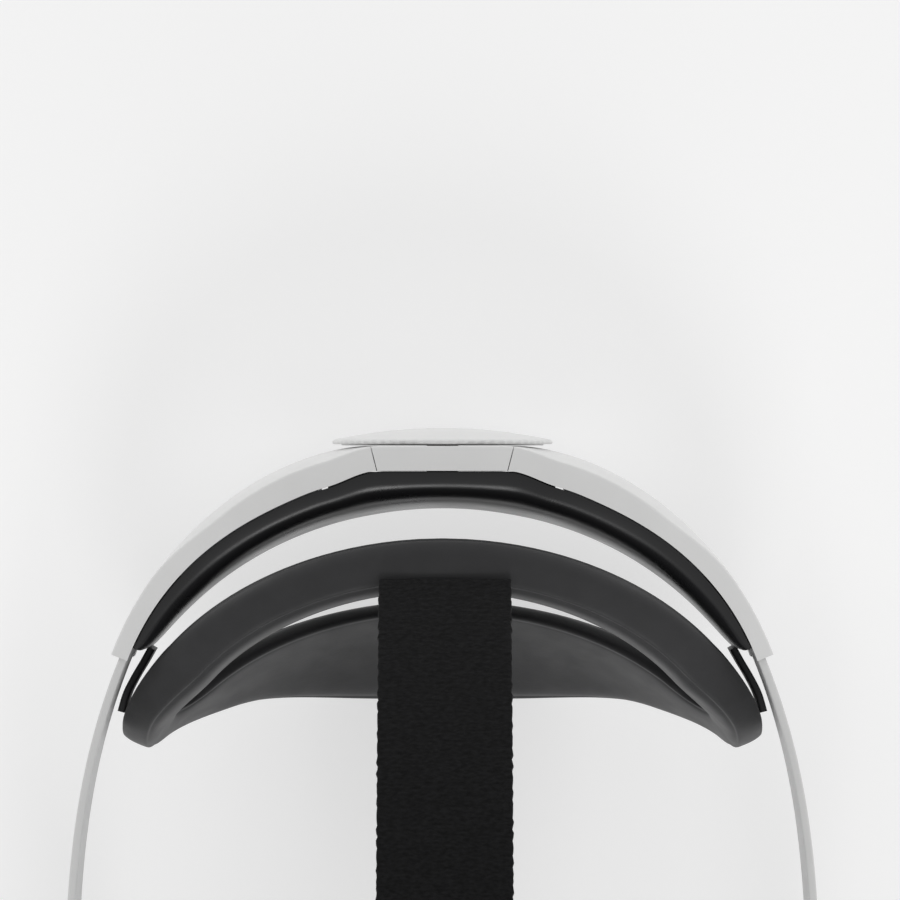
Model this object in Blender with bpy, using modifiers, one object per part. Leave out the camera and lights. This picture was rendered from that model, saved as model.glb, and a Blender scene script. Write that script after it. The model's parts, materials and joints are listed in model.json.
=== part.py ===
"""Stand-alone headset: visor, side arms, rear battery housing with fit dial, padded cradle and top strap.

The wearer looks along -Y and up is +Z, so the wearer's left side lies at +X. Sizes are in millimetres
and become metres when a mesh is made. The origin is on the floor, midway along the object's length.
"""

import math

import bmesh
import bpy
from mathutils import Matrix, Vector

MM = 0.001
GAP = 0.3  # between pieces that touch
SIDES = {"left": 1, "right": -1}
AXIS_ROTATION = {
    "X": Matrix.Rotation(math.radians(90), 4, "Y"),
    "Y": Matrix.Rotation(math.radians(-90), 4, "X"),
    "Z": Matrix.Identity(4),
}

# visor
VISOR_FRONT = -143.0
VISOR_HALF_WIDTH = 78.0
VISOR_HALF_HEIGHT = 43.6
VISOR_MIDDLE = 41.4
VISOR_SQUARENESS = 3.2
NOSE_LIFT = 21.0
NOSE_HALF = 21.0
FRONT_BOW_X = 300.0  # radius of the front window across
FRONT_BOW_Z = 125.0  # and up
SHELL_SPLIT = -118.0
REAR_RIM = -108.3
SHELL_WALL = 2.0
WINDOW_INSET = 5.0
WINDOW_MIDDLE = 46.0

# optics
EYE_HEIGHT = 43.0
EYE_HALF_SPACING = 33.0
EYE_CLOSEST = 31.0
EYE_WIDEST = 36.0
BARREL_RADIUS = 22.5
LENS_RADIUS = 20.0
BARREL_FRONT = -118.5
BARREL_REAR = -104.5
UPPER_ROD = (-114.0, 71.0)  # (y, z)
LOWER_ROD = (-124.0, 27.6)
ROD_RADIUS = 1.5
SPACING_PINION_RADIUS = 4.0
SPACING_TEETH = 10
SPACING_GEAR_Y = -123.0

# face interface
FACE_HALF_WIDTH = 70.0
FACE_HALF_HEIGHT = 39.0
FACE_MIDDLE = 44.5
FACE_WRAP = 24.0
FACE_FRONT = -105.7
FACE_FRAME_REAR = -97.0
CUSHION_DEPTH = 12.0
CUSHION_WIDTH = 13.0

# side arms
TEMPLE_Y = -85.0
TEMPLE_Z = 60.0
ARM_OUTER = 82.3
ARM_CURL_START = 5.0
ARM_CURL = 1.77e-5
ARM_TOP = 72.0
BAND_THICKNESS = 1.8
BAND_BOTTOM = 51.0
BAND_FRONT = 25.0
BAND_REAR = 95.5
SPEAKER_FROM = -34.0
SPEAKER_TO = 12.0

# rear housing
HOUSING_FLAT = 16.0
HOUSING_REACH = 60.0
HOUSING_CENTRE_Y = 75.0
HOUSING_DEPTH = 64.0
HOUSING_ROUNDNESS = 1.8
HOUSING_END_TURN = 0.785
HOUSING_TOP = 76.0
HOUSING_BOTTOM = 24.5
HOUSING_END_BOTTOM = 43.0
HOUSING_WALL = 1.8
HOUSING_SLIMMING = 0.44  # how much narrower the top face is at its ends
TOP_LEAN = 2.1  # how far the top edge leans in from the outer wall
COVER_INSET = 5.7
COVER_LIP_HALF = 66.6
COVER_LIP_DEPTH = 50.5
COVER_WALL = 1.6
COVER_REACH = 0.95
CAP_HALF_REAR = 16.2
CAP_HALF_FRONT = 13.6

# fit dial
DIAL_Z = 50.0
DIAL_RADIUS = 24.4
DIAL_BASE_Y = 139.4
DIAL_APEX_Y = 143.0
DIAL_SHAFT_RADIUS = 3.5
DIAL_PINION_RADIUS = 6.0
DIAL_TEETH = 12
RACK_Y = 131.5
RACK_WIDTH = 3.6

# head cradle
CRADLE_CENTRE_Y = 60.0
CRADLE_HALF_WIDTH = 63.4
CRADLE_DEPTH = 48.0
CRADLE_TIP_Z = 45.0
CRADLE_RISE = 31.0
CRADLE_DROP = 22.7
CRADLE_TOP_Z = 85.0
CRADLE_TUCK = 0.0026
CRADLE_LOWER_TUCK = 6.0e-11
CRADLE_FLARE = 4.4  # how far the tips stand out from the oval
CRADLE_TIP_TURN = math.radians(69)
CRADLE_TIP_HALF = 6.5  # half the band's width at the tips
UPPER_BAND_SWELL = 5.8
LOWER_BAND_SWELL = 8.3
PAD_THICKNESS = 9.0
PAD_TIP_THINNING = 0.4
LOWER_EDGE_THINNING = 0.8
CORE_THICKNESS = 1.8
CRADLE_STATIONS = 44

# top strap
STRAP_WIDTH = 28.4
STRAP_THICKNESS = 1.6
STRAP_TOP_Y = -2.0
STRAP_TOP_Z = 141.0
STRAP_REAR = (108.8, 88.9)
STRAP_LOOP = (-113.0, 98.0)
STRAP_TAIL_END = -58.0
LOOP_BAR = 2.6
LOOP_HALF_HEIGHT = 7.0

WHITE = ((0.80, 0.80, 0.79), 0.50, 0.0)
SOFT_BLACK = ((0.035, 0.035, 0.037), 0.80, 0.0)
SATIN_BLACK = ((0.02, 0.02, 0.021), 0.32, 0.0)
GREY = ((0.18, 0.18, 0.19), 0.6, 0.0)
STEEL = ((0.62, 0.62, 0.63), 0.3, 1.0)
BOARD_GREEN = ((0.02, 0.12, 0.07), 0.55, 0.0)
WINDOW = ((0.01, 0.011, 0.014), 0.06, 0.0)
LENS_TINT = ((0.10, 0.09, 0.13), 0.04, 0.0)
BLACK_WEAVE = ((0.025, 0.025, 0.026), 0.92, 0.0)
CELL_SILVER = ((0.45, 0.46, 0.48), 0.4, 0.6)


def clear_scene():
    for obj in list(bpy.data.objects):
        bpy.data.objects.remove(obj, do_unlink=True)


def new_collection(name):
    collection = bpy.data.collections.new(name)
    bpy.context.scene.collection.children.link(collection)
    return collection


clear_scene()
parts = new_collection("vr_headset")
cutters = new_collection("cutters")


# ---------------------------------------------------------------- helpers


def paint(obj, look):
    colour, roughness, metallic = look
    material = bpy.data.materials.new(obj.name + "_material")
    material.use_nodes = True
    shader = material.node_tree.nodes["Principled BSDF"]
    shader.inputs["Base Color"].default_value = (*colour, 1.0)
    shader.inputs["Roughness"].default_value = roughness
    shader.inputs["Metallic"].default_value = metallic
    material.diffuse_color = (*colour, 1.0)
    obj.data.materials.append(material)
    return obj


def add_mesh(name, bm, look, collection=parts):
    mesh = bpy.data.meshes.new(name)
    bm.to_mesh(mesh)
    bm.free()
    obj = bpy.data.objects.new(name, mesh)
    collection.objects.link(obj)
    if look is not None:
        paint(obj, look)
    return obj


def bevel(obj, width, segments=2, angle=35):
    modifier = obj.modifiers.new("Bevel", "BEVEL")
    modifier.width = width * MM
    modifier.segments = segments
    modifier.limit_method = "ANGLE"
    modifier.angle_limit = math.radians(angle)
    return obj


def box(name, low, high, look, rounding=0.0, collection=parts):
    centre = (Vector(low) + Vector(high)) / 2 * MM
    size = (Vector(high) - Vector(low)) * MM
    bm = bmesh.new()
    bmesh.ops.create_cube(bm, size=1, matrix=Matrix.LocRotScale(centre, None, size))
    obj = add_mesh(name, bm, look, collection)
    return bevel(obj, rounding) if rounding else obj


def add_cylinder(bm, radius, length, centre, axis, segments):
    place = Matrix.Translation(Vector(centre) * MM) @ AXIS_ROTATION[axis]
    bmesh.ops.create_cone(bm, cap_ends=True, segments=segments, radius1=radius * MM, radius2=radius * MM,
                          depth=length * MM, matrix=place)


def cylinder(name, radius, length, centre, axis, look, segments=28, collection=parts):
    bm = bmesh.new()
    add_cylinder(bm, radius, length, centre, axis, segments)
    return add_mesh(name, bm, look, collection)


def loft(name, rings, look, loop=False, open_ends=False, collection=parts):
    """Joins rings of equal length with quads, closed by end faces, into a loop, or left open."""
    bm = bmesh.new()
    rows = [[bm.verts.new(Vector(point) * MM) for point in ring] for ring in rings]
    pairs = list(zip(rows, rows[1:]))
    if loop:
        pairs.append((rows[-1], rows[0]))
    for first, second in pairs:
        for k in range(len(first)):
            after = (k + 1) % len(first)
            bm.faces.new((first[k], first[after], second[after], second[k]))
    if not loop and not open_ends:
        bm.faces.new(rows[0])
        bm.faces.new(rows[-1])
    bmesh.ops.recalc_face_normals(bm, faces=bm.faces)
    return add_mesh(name, bm, look, collection)


def solidify(obj, thickness):
    modifier = obj.modifiers.new("Solidify", "SOLIDIFY")
    modifier.thickness = thickness * MM
    modifier.offset = -1
    modifier.use_even_offset = True
    return obj


def turned(name, profile, centre, look, steps=40):
    """Turns (radius, y) points, listed from the +Y end to the -Y end, about an axis along Y."""
    bm = bmesh.new()
    verts = [bm.verts.new(Vector((radius, 0, y - centre[1])) * MM) for radius, y in profile]
    closed = profile[0][0] > 0
    for first, second in zip(verts, verts[1:]):
        bm.edges.new((first, second))
    if closed:
        bm.edges.new((verts[-1], verts[0]))
    obj = add_mesh(name, bm, look)
    screw = obj.modifiers.new("Screw", "SCREW")
    screw.steps = steps
    screw.render_steps = steps
    screw.use_merge_vertices = True
    screw.merge_threshold = 0.00001
    obj.rotation_euler = (math.radians(-90), 0, 0)
    obj.location = Vector(centre) * MM
    return obj


def flat_curve(name, outlines, thickness, centre, axis, look):
    """A flat plate with holes: the first outline is its edge, in the plane square to axis."""
    curve = bpy.data.curves.new(name, "CURVE")
    curve.dimensions = "2D"
    curve.fill_mode = "BOTH"
    curve.extrude = thickness / 2 * MM
    for outline in outlines:
        spline = curve.splines.new("POLY")
        spline.points.add(len(outline) - 1)
        for point, (across, up) in zip(spline.points, outline):
            point.co = (across * MM, up * MM, 0, 1)
        spline.use_cyclic_u = True
    obj = bpy.data.objects.new(name, curve)
    parts.objects.link(obj)
    obj.rotation_euler = {"Y": (math.radians(90), 0, 0), "Z": (0, 0, 0),
                          "X": (math.radians(90), 0, math.radians(90))}[axis]
    obj.location = Vector(centre) * MM
    return paint(obj, look)


def flat_mesh(name, outline, low, high, axis, look, collection=parts):
    """An outline without holes, drawn out from low to high along axis."""
    place = {"X": lambda a, b, c: (c, a, b),
             "Y": lambda a, b, c: (a, c, b),
             "Z": lambda a, b, c: (a, b, c)}[axis]
    rings = [[place(a, b, level) for a, b in outline] for level in (low, high)]
    return loft(name, rings, look, collection=collection)


def combine(target, tool, operation):
    modifier = target.modifiers.new(operation.title(), "BOOLEAN")
    modifier.operation = operation
    modifier.solver = "EXACT"
    modifier.object = tool
    tool.hide_render = True
    tool.display_type = "WIRE"
    return target


def cut(target, cutter):
    return combine(target, cutter, "DIFFERENCE")


def axle_empty(name, point, members):
    """An empty on a joint's axis that carries the pieces that move about it."""
    empty = bpy.data.objects.new(name, None)
    empty.location = Vector(point) * MM
    empty.empty_display_size = 5 * MM
    parts.objects.link(empty)
    for member in members:
        member.parent = empty
        member.matrix_parent_inverse = Matrix.Translation(-empty.location)
    return empty


def circle(radius, centre=(0, 0), count=32):
    turns = [2 * math.pi * k / count for k in range(count)]
    return [(centre[0] + radius * math.cos(t), centre[1] + radius * math.sin(t)) for t in turns]


def stadium(radius, left, right, up, count=12):
    """A slot with round ends, its end centres at left and right."""
    ends = []
    for centre, start in ((right, -90), (left, 90)):
        for k in range(count + 1):
            turn = math.radians(start + 180 * k / count)
            ends.append((centre + radius * math.cos(turn), up + radius * math.sin(turn)))
    return ends


def rounded_rectangle(half_width, half_height, radius, centre=(0, 0), count=4):
    points = []
    for corner, (sx, sz) in enumerate(((1, 1), (-1, 1), (-1, -1), (1, -1))):
        for k in range(count + 1):
            turn = math.radians(90 * corner + 90 * k / count)
            points.append((centre[0] + sx * (half_width - radius) + radius * math.cos(turn),
                           centre[1] + sz * (half_height - radius) + radius * math.sin(turn)))
    return points


def signed_power(value, power):
    return math.copysign(abs(value) ** power, value)


def smooth(value):
    value = min(max(value, 0.0), 1.0)
    return value * value * (3 - 2 * value)


def even_points(curve, count):
    """Spaces count points evenly along a closed curve given as a function of a turn from 0 to 1."""
    fine = [Vector(curve(k / 720)) for k in range(721)]
    travelled = [0.0]
    for before, after in zip(fine, fine[1:]):
        travelled.append(travelled[-1] + (after - before).length)
    points = []
    index = 0
    for k in range(count):
        goal = travelled[-1] * k / count
        while travelled[index + 1] < goal:
            index += 1
        share = (goal - travelled[index]) / (travelled[index + 1] - travelled[index])
        points.append(fine[index].lerp(fine[index + 1], share))
    return points


def gear_outline(pitch_radius, teeth, height, phase):
    """Straight-sided teeth, thinner than half the pitch so that they run free."""
    points = []
    for k in range(teeth):
        middle = phase + 2 * math.pi * k / teeth
        for share, radius in ((-0.22, -1), (-0.10, 1), (0.10, 1), (0.22, -1)):
            turn = middle + share * 2 * math.pi / teeth
            reach = pitch_radius + radius * height / 2
            points.append((reach * math.cos(turn), reach * math.sin(turn)))
    return points


def rack_outline(start, pitch, teeth, height, back, side):
    """A toothed bar along X whose teeth point down for side 1 and up for side -1, about a pitch line at 0."""
    points = [(start, side * back), (start, side * height / 2)]
    for k in range(teeth):
        middle = start + pitch * (k + 0.5)
        for share, level in ((-0.22, 1), (-0.10, -1), (0.10, -1), (0.22, 1)):
            points.append((middle + share * pitch, side * level * height / 2))
    end = start + pitch * teeth
    return points + [(end, side * height / 2), (end, side * back)]


# ---------------------------------------------------------------- visor shells


def visor_outline(inset=0.0, count=60):
    """The visor seen from the front as (x, z): a squared oval lifted over the nose."""

    def curve(turn):
        angle = 2 * math.pi * turn
        x = (VISOR_HALF_WIDTH - inset) * signed_power(math.cos(angle), 2 / VISOR_SQUARENESS)
        z = VISOR_MIDDLE + (VISOR_HALF_HEIGHT - inset) * signed_power(math.sin(angle), 2 / VISOR_SQUARENESS)
        lift = NOSE_LIFT * math.exp(-((x / NOSE_HALF) ** 2)) * max(0.0, -math.sin(angle))
        return (x, z + lift)

    return even_points(curve, count)


def front_depth(x, z):
    """Where the bowed front window's face lies along Y."""
    return VISOR_FRONT + x * x / (2 * FRONT_BOW_X) + (z - VISOR_MIDDLE) ** 2 / (2 * FRONT_BOW_Z)


def build_visor_shells():
    rims = ((WINDOW_INSET - 0.6, 0.8), (1.6, 1.2), (0.3, 3.0), (0.0, 5.0))
    rings = [[(x, front_depth(x, z) + back, z) for x, z in visor_outline(inset)] for inset, back in rims]
    rings.append([(x, SHELL_SPLIT - GAP / 2, z) for x, z in visor_outline()])
    front = solidify(loft("visor_front_shell", rings, WHITE, open_ends=True), SHELL_WALL)

    steps = ((0.0, SHELL_SPLIT + GAP / 2), (0.0, -112.0), (1.0, -109.6), (3.0, REAR_RIM))
    rings = [[(x, y, z) for x, z in visor_outline(inset)] for inset, y in steps]
    solidify(loft("visor_rear_shell", rings, WHITE, open_ends=True), SHELL_WALL)

    edge = visor_outline(WINDOW_INSET)
    rings = []
    for share in (1.0, 0.75, 0.5, 0.25):
        points = [(x * share, WINDOW_MIDDLE + (z - WINDOW_MIDDLE) * share) for x, z in edge]
        rings.append([(x, front_depth(x, z), z) for x, z in points])
    back = [[(x, y + SHELL_WALL, z) for x, y, z in ring] for ring in rings]
    loft("front_window", rings[::-1] + back, WINDOW)
    return front


def build_lens_panel():
    slots = []
    for side in (1, -1):
        near, far = sorted((side * (EYE_CLOSEST - 0.5), side * (EYE_WIDEST + 0.5)))
        slots.append(stadium(BARREL_RADIUS + 0.8, near, far, EYE_HEIGHT, 16))
    panel = flat_curve("lens_panel", [visor_outline(5.4)] + slots, 2.0, (0, -108.6, 0), "Y", SATIN_BLACK)
    return panel


# ---------------------------------------------------------------- optics


def build_eye(side_name):
    side = SIDES[side_name]
    x = side * EYE_HALF_SPACING
    outer, inner, step = BARREL_RADIUS, LENS_RADIUS + GAP, BARREL_RADIUS - 1.4
    profile = [(inner, BARREL_REAR), (outer - 0.8, BARREL_REAR), (outer, BARREL_REAR - 0.8),
               (outer, BARREL_FRONT), (step - 4, BARREL_FRONT), (step - 4, BARREL_FRONT + 2),
               (inner, BARREL_FRONT + 2)]
    barrel = turned("lens_barrel_" + side_name, profile, (x, -112, EYE_HEIGHT), SATIN_BLACK)
    rod_y, rod_z = UPPER_ROD
    low = EYE_HEIGHT + BARREL_RADIUS - 1.2
    lug = box(side_name + "_barrel_lug", (x - 4, rod_y - 3, low), (x + 4, rod_y + 3, rod_z + 3.2),
              None, 0, cutters)
    combine(barrel, lug, "UNION")
    bore = cylinder(side_name + "_barrel_rod_bore", ROD_RADIUS + 0.35, 20, (x, rod_y, rod_z), "X",
                    None, 16, cutters)
    cut(barrel, bore)

    radius = LENS_RADIUS
    lens_profile = [(0, -105.4), (radius * 0.5, -105.9), (radius * 0.85, -107.0), (radius, -108.0),
                    (radius, -110.2), (radius * 0.6, -111.0), (0, -111.4)]
    lens = turned("lens_" + side_name, lens_profile, (x, -112, EYE_HEIGHT), LENS_TINT)
    display = box("display_" + side_name, (x - 21, -121.4, EYE_HEIGHT - 21),
                  (x + 21, BARREL_FRONT - GAP, EYE_HEIGHT + 21), GREY)
    rod_y, rod_z = LOWER_ROD
    lug = box(side_name + "_display_lug", (x - 4, rod_y - 3, rod_z - 3), (x + 4, -120.4, rod_z + 3),
              None, 0, cutters)
    combine(display, lug, "UNION")
    bore = cylinder(side_name + "_display_rod_bore", ROD_RADIUS + 0.35, 20, (x, rod_y, rod_z), "X",
                    None, 16, cutters)
    cut(display, bore)
    pitch = 2 * math.pi * SPACING_PINION_RADIUS / SPACING_TEETH
    start = -pitch * 3 if side > 0 else -pitch * 5
    outline = rack_outline(start, pitch, 8, 1.3, 3.2, side)
    centre_up = EYE_HEIGHT + side * SPACING_PINION_RADIUS
    outline = [(across, up + centre_up) for across, up in outline]
    rack = flat_mesh("spacing_rack_" + side_name, outline, SPACING_GEAR_Y - 1, SPACING_GEAR_Y + 1, "Y", STEEL)
    return axle_empty("eye_axis_" + side_name, (x, -112, EYE_HEIGHT), (barrel, lens, display, rack))


def build_spacing_drive():
    for level, (y, z) in (("upper", UPPER_ROD), ("lower", LOWER_ROD)):
        cylinder("guide_rod_" + level, ROD_RADIUS, 112, (0, y, z), "X", STEEL, 16)
    outline = gear_outline(SPACING_PINION_RADIUS, SPACING_TEETH, 1.3, math.pi / 2)
    outline = [(across, up + EYE_HEIGHT) for across, up in outline]
    pinion = flat_mesh("spacing_pinion", outline, SPACING_GEAR_Y - 1.2, SPACING_GEAR_Y + 1.2, "Y", STEEL)
    cylinder("spacing_motor", 3.2, 3.0, (0, SPACING_GEAR_Y - 3.1, EYE_HEIGHT), "Y", GREY)
    return axle_empty("spacing_pinion_axis", (0, SPACING_GEAR_Y, EYE_HEIGHT), (pinion,))


# ---------------------------------------------------------------- electronics


def camera(name, across, up, radius=5.0, length=6.0):
    """A camera can just behind the front window."""
    edge = front_depth(abs(across) + 4, up + math.copysign(4, up - VISOR_MIDDLE))
    cylinder(name, radius, length, (across, edge + SHELL_WALL + GAP + length / 2, up), "Y", SATIN_BLACK, 24)


def build_electronics():
    box("main_board", (-50, -129.2, 30), (50, -128.0, 70), BOARD_GREEN)
    fins = [(22, 40), (22, 66)]
    for k in range(7):
        base = 24 + 4 * k
        fins += [(base, 66), (base, 44), (base + 2.6, 44), (base + 2.6, 66)]
    flat_mesh("heat_sink", fins + [(52, 66), (52, 40)], -133.0, -129.5, "Y", STEEL)
    frame = [circle(15, (0, 61), 32), circle(12.6, (0, 61), 32)]
    flat_curve("fan_housing", frame, 5.4, (0, -133.4, 0), "Y", SATIN_BLACK)
    blades = []
    for k in range(9):
        for share, radius in ((0.0, 4.5), (0.18, 11.6), (0.30, 11.6), (0.36, 4.5)):
            turn = 2 * math.pi * (k + share) / 9
            blades.append((radius * math.cos(turn), 61 + radius * math.sin(turn)))
    rotor = flat_mesh("fan_rotor", blades, -135.6, -131.6, "Y", GREY)
    axle_empty("fan_axis", (0, -133.6, 61), (rotor,))
    for side_name, side in SIDES.items():
        camera("tracking_camera_upper_" + side_name, side * 57, 62)
        camera("tracking_camera_lower_" + side_name, side * 58, 23)
    camera("colour_camera", 0, 37)
    box("proximity_sensor", (-4, -107.2, 58), (4, -104.8, 62), SATIN_BLACK, 0.4)


# ---------------------------------------------------------------- face interface


def face_outline(inset=0.0, count=48):
    def curve(turn):
        angle = 2 * math.pi * turn
        x = (FACE_HALF_WIDTH - inset) * signed_power(math.cos(angle), 2 / 2.6)
        z = FACE_MIDDLE + (FACE_HALF_HEIGHT - inset) * signed_power(math.sin(angle), 2 / 2.6)
        lift = (NOSE_LIFT + 4) * math.exp(-((x / (NOSE_HALF + 2)) ** 2)) * max(0.0, -math.sin(angle))
        return (x, z + lift)

    return even_points(curve, count)


def face_wrap(x):
    return FACE_WRAP * (min(abs(x), FACE_HALF_WIDTH) / FACE_HALF_WIDTH) ** 2.2


def build_face_interface():
    sections = []
    for outer, inner in zip(face_outline(), face_outline(2.4)):
        rear = FACE_FRAME_REAR + face_wrap(outer.x)
        sections.append([(outer.x, FACE_FRONT, outer.y), (outer.x, rear, outer.y),
                         (inner.x, rear, inner.y), (inner.x, FACE_FRONT, inner.y)])
    loft("face_frame", sections, SATIN_BLACK, loop=True)

    insets = (-1.0, 1.5, CUSHION_WIDTH - 3, CUSHION_WIDTH - 0.5)
    outlines = [face_outline(inset) for inset in insets]
    sections = []
    for outer, near, far, inner in zip(*outlines):
        front = FACE_FRAME_REAR + face_wrap(outer.x) + GAP
        rear = front + CUSHION_DEPTH
        sections.append([(near.x, front, near.y), (outer.x, front + 3, outer.y), (outer.x, rear - 4, outer.y),
                         (near.x, rear - 1, near.y), (0.5 * (near.x + far.x), rear, 0.5 * (near.y + far.y)),
                         (far.x, rear - 1.5, far.y), (inner.x, rear - 5, inner.y),
                         (inner.x, front + 2.5, inner.y),
                         (far.x, front, far.y)])
    loft("face_cushion", sections, SOFT_BLACK, loop=True)


# ---------------------------------------------------------------- controls, port and loop


def build_controls(front_shell):
    bm = bmesh.new()
    add_cylinder(bm, 4.4, 14, (45, -123.4, 80), "Z", 28)
    cut(front_shell, add_mesh("power_button_hole", bm, None, cutters))
    button = cylinder("power_button", 4.0, 4.2, (45, -123.4, 81.4), "Z", SATIN_BLACK)
    bevel(button, 0.4)
    axle_empty("power_button_axis", (45, -123.4, 81.4), (button,))

    hole = [(across, up - 123.4) for across, up in stadium(3.1, -50.5, -39.5, 0)]
    cut(front_shell, flat_mesh("volume_rocker_hole", hole, 72, 90, "Z", None, cutters))
    outline = [(across, up - 123.4) for across, up in stadium(2.6, -50.4, -39.6, 0)]
    rocker = flat_mesh("volume_rocker", outline, 79.4, 83.6, "Z", SATIN_BLACK)
    bevel(rocker, 0.4)
    axle_empty("volume_rocker_axis", (-45, -123.4, 80.5), (rocker,))

    port_y, port_z = -122.6, 40.0
    slot = [(port_y + across, port_z + up) for up, across in stadium(2.0, -2.8, 2.8, 0)]
    cut(front_shell, flat_mesh("usb_port_hole", slot, 68, 90, "X", None, cutters))
    shell = [(port_y + across, port_z + up) for up, across in stadium(1.6, -2.8, 2.8, 0)]
    mouth = [(port_y + across, port_z + up) for up, across in stadium(1.2, -2.8, 2.8, 0)]
    flat_curve("usb_c_port", [shell, mouth], 7.0, (74.2, 0, 0), "X", STEEL)


def build_strap_loop():
    y, z = STRAP_LOOP
    middle = (0, z - LOOP_HALF_HEIGHT + LOOP_BAR / 2)
    outer = rounded_rectangle(20, LOOP_HALF_HEIGHT, 2.4, middle)
    inner = rounded_rectangle(17, LOOP_HALF_HEIGHT - LOOP_BAR, 1.2, middle)
    flat_curve("front_strap_loop", [outer, inner], LOOP_BAR, (0, y, 0), "Y", SATIN_BLACK)


# ---------------------------------------------------------------- side arms


def arm_x(y):
    """The outer face of a side arm: straight past the face, curling in towards the rear housing."""
    return ARM_OUTER - ARM_CURL * max(0.0, y - ARM_CURL_START) ** 3


def arm_section(side, y, thickness, low, high):
    """An upright section with small chamfers, square to the arm's run."""
    slope = (arm_x(y + 1) - arm_x(y - 1)) / 2
    scale = math.hypot(1, slope)
    nose = 0.45 * min(thickness, 2.0)

    def at(depth, z):
        return (side * (arm_x(y) - depth / scale), y + depth * slope / scale, z)

    return [at(nose, low), at(0, low + nose), at(0, high - nose), at(nose, high),
            at(thickness - nose, high), at(thickness, high - nose),
            at(thickness, low + nose), at(thickness - nose, low)]


def speaker_bulge(y):
    return smooth((y - SPEAKER_FROM + 14) / 14) * smooth((SPEAKER_TO + 12 - y) / 12)


def build_arm(side_name):
    side = SIDES[side_name]
    stations = [-97, -95.5, -92, -85, -76, -60, -48, -44, -40, -36, -30,
                -10, 10, 14, 18, 22, BAND_FRONT - GAP]
    rings = []
    for y in stations:
        bulge = speaker_bulge(y)
        nose = smooth((y + 99) / 8)
        thickness = 2.6 - 0.8 * smooth((y - 5) / 18) + 6.4 * bulge
        low = TEMPLE_Z - 10 * nose - 10 * bulge + (BAND_BOTTOM - 50) * smooth((y - 5) / 18)
        high = TEMPLE_Z + 4 + (ARM_TOP - TEMPLE_Z - 4) * nose
        rings.append(arm_section(side, y, thickness, low, high))
    arm = loft("arm_" + side_name, rings, WHITE)
    pin_hole = cylinder(side_name + "_pin_hole", 3.1, 20, (side * ARM_OUTER, TEMPLE_Y, TEMPLE_Z), "X",
                        None, 24, cutters)
    cut(arm, pin_hole)
    inner = ARM_OUTER - 9.0
    low, high = sorted((side * (inner - 3), side * (ARM_OUTER - 1.6)))
    pocket = box(side_name + "_speaker_pocket", (low, SPEAKER_FROM + 2, 42.4),
                 (high, SPEAKER_TO - 2, 69.6), None, 0, cutters)
    cut(arm, pocket)
    low, high = sorted((side * inner, side * (inner + 1.4)))
    cover = box("speaker_cover_" + side_name, (low, SPEAKER_FROM + 2.3, 42.7),
                (high, SPEAKER_TO - 2.3, 69.3), SATIN_BLACK)
    driver = cylinder("speaker_" + side_name, 10.5, 4.6, (side * (ARM_OUTER - 4.6), -11, 56), "X", GREY)

    count = 13
    rings = []
    for k in range(count):
        y = BAND_FRONT + (BAND_REAR - BAND_FRONT) * k / (count - 1)
        rings.append(arm_section(side, y, BAND_THICKNESS, BAND_BOTTOM, ARM_TOP))
    band = loft("arm_band_" + side_name, rings, WHITE)
    return [arm, cover, driver, band]


def build_temple(side_name):
    side = SIDES[side_name]
    low, high = sorted((side * 75.6, side * (ARM_OUTER - 2.6 - GAP)))
    bracket = box("temple_bracket_" + side_name, (low, -106, TEMPLE_Z - 9), (high, -76, TEMPLE_Z + 9),
                  SATIN_BLACK, 1.2)
    hole = cylinder(side_name + "_bracket_hole", 2.9, 20, (side * 77, TEMPLE_Y, TEMPLE_Z), "X",
                    None, 24, cutters)
    cut(bracket, hole)
    pin_place = (side * (ARM_OUTER - 3.4), TEMPLE_Y, TEMPLE_Z)
    cylinder("temple_pin_" + side_name, 2.6, 6.4, pin_place, "X", STEEL, 24)


# ---------------------------------------------------------------- rear housing


def housing_plan(share):
    """The housing's outer line in plan for a share from -1 to 1: flat, then a rounded quarter oval."""
    flat_share = 0.16
    reach = abs(share)
    if reach <= flat_share:
        return (HOUSING_FLAT * share / flat_share, HOUSING_CENTRE_Y + HOUSING_DEPTH)
    turn = (reach - flat_share) / (1 - flat_share) * math.pi / 2 * HOUSING_END_TURN
    across = HOUSING_FLAT + HOUSING_REACH * math.sin(turn) ** (2 / HOUSING_ROUNDNESS)
    depth = HOUSING_CENTRE_Y + HOUSING_DEPTH * math.cos(turn) ** (2 / HOUSING_ROUNDNESS)
    return (math.copysign(across, share), depth)


def housing_point(share, inset, z):
    """A point at a distance inside the outer line."""
    x, y = housing_plan(share)
    before, after = housing_plan(share - 0.01), housing_plan(share + 0.01)
    along = Vector((after[0] - before[0], after[1] - before[1])).normalized()
    return (x + along.y * inset, y - along.x * inset, z)


def top_lean(share):
    """How far in the top face starts: flush at the centre cap and at the ends, set in between them."""
    across = abs(housing_plan(share)[0])
    return TOP_LEAN * smooth((across - 13) / 14) * (1 - 0.85 * smooth((across - 50) / 14))


def cover_line(share):
    """How far in the top face ends, where the inner cover starts."""
    across = abs(housing_plan(share)[0])
    start = COVER_INSET + TOP_LEAN * smooth((across - 13) / 14)
    return start * (1 - HOUSING_SLIMMING * smooth((across - 34) / 40))


def cover_swell(share):
    """How far the inner cover swells towards the head: out to an oval lip, fading out at its rounded ends."""
    start = Vector(housing_point(share, cover_line(share), 0))
    inward = Vector(housing_point(share, cover_line(share) + 1, 0)) - start
    x, y = start.x / COVER_LIP_HALF, (start.y - HOUSING_CENTRE_Y) / COVER_LIP_DEPTH
    u, v = inward.x / COVER_LIP_HALF, inward.y / COVER_LIP_DEPTH
    a, b, c = u * u + v * v, x * u + y * v, x * x + y * y - 1
    reach = (-b - math.sqrt(b * b - a * c)) / a
    fade = math.sqrt(max(0.0, 1 - (abs(share) / COVER_REACH) ** 8))
    return COVER_WALL + (reach - COVER_WALL) * fade


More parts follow.
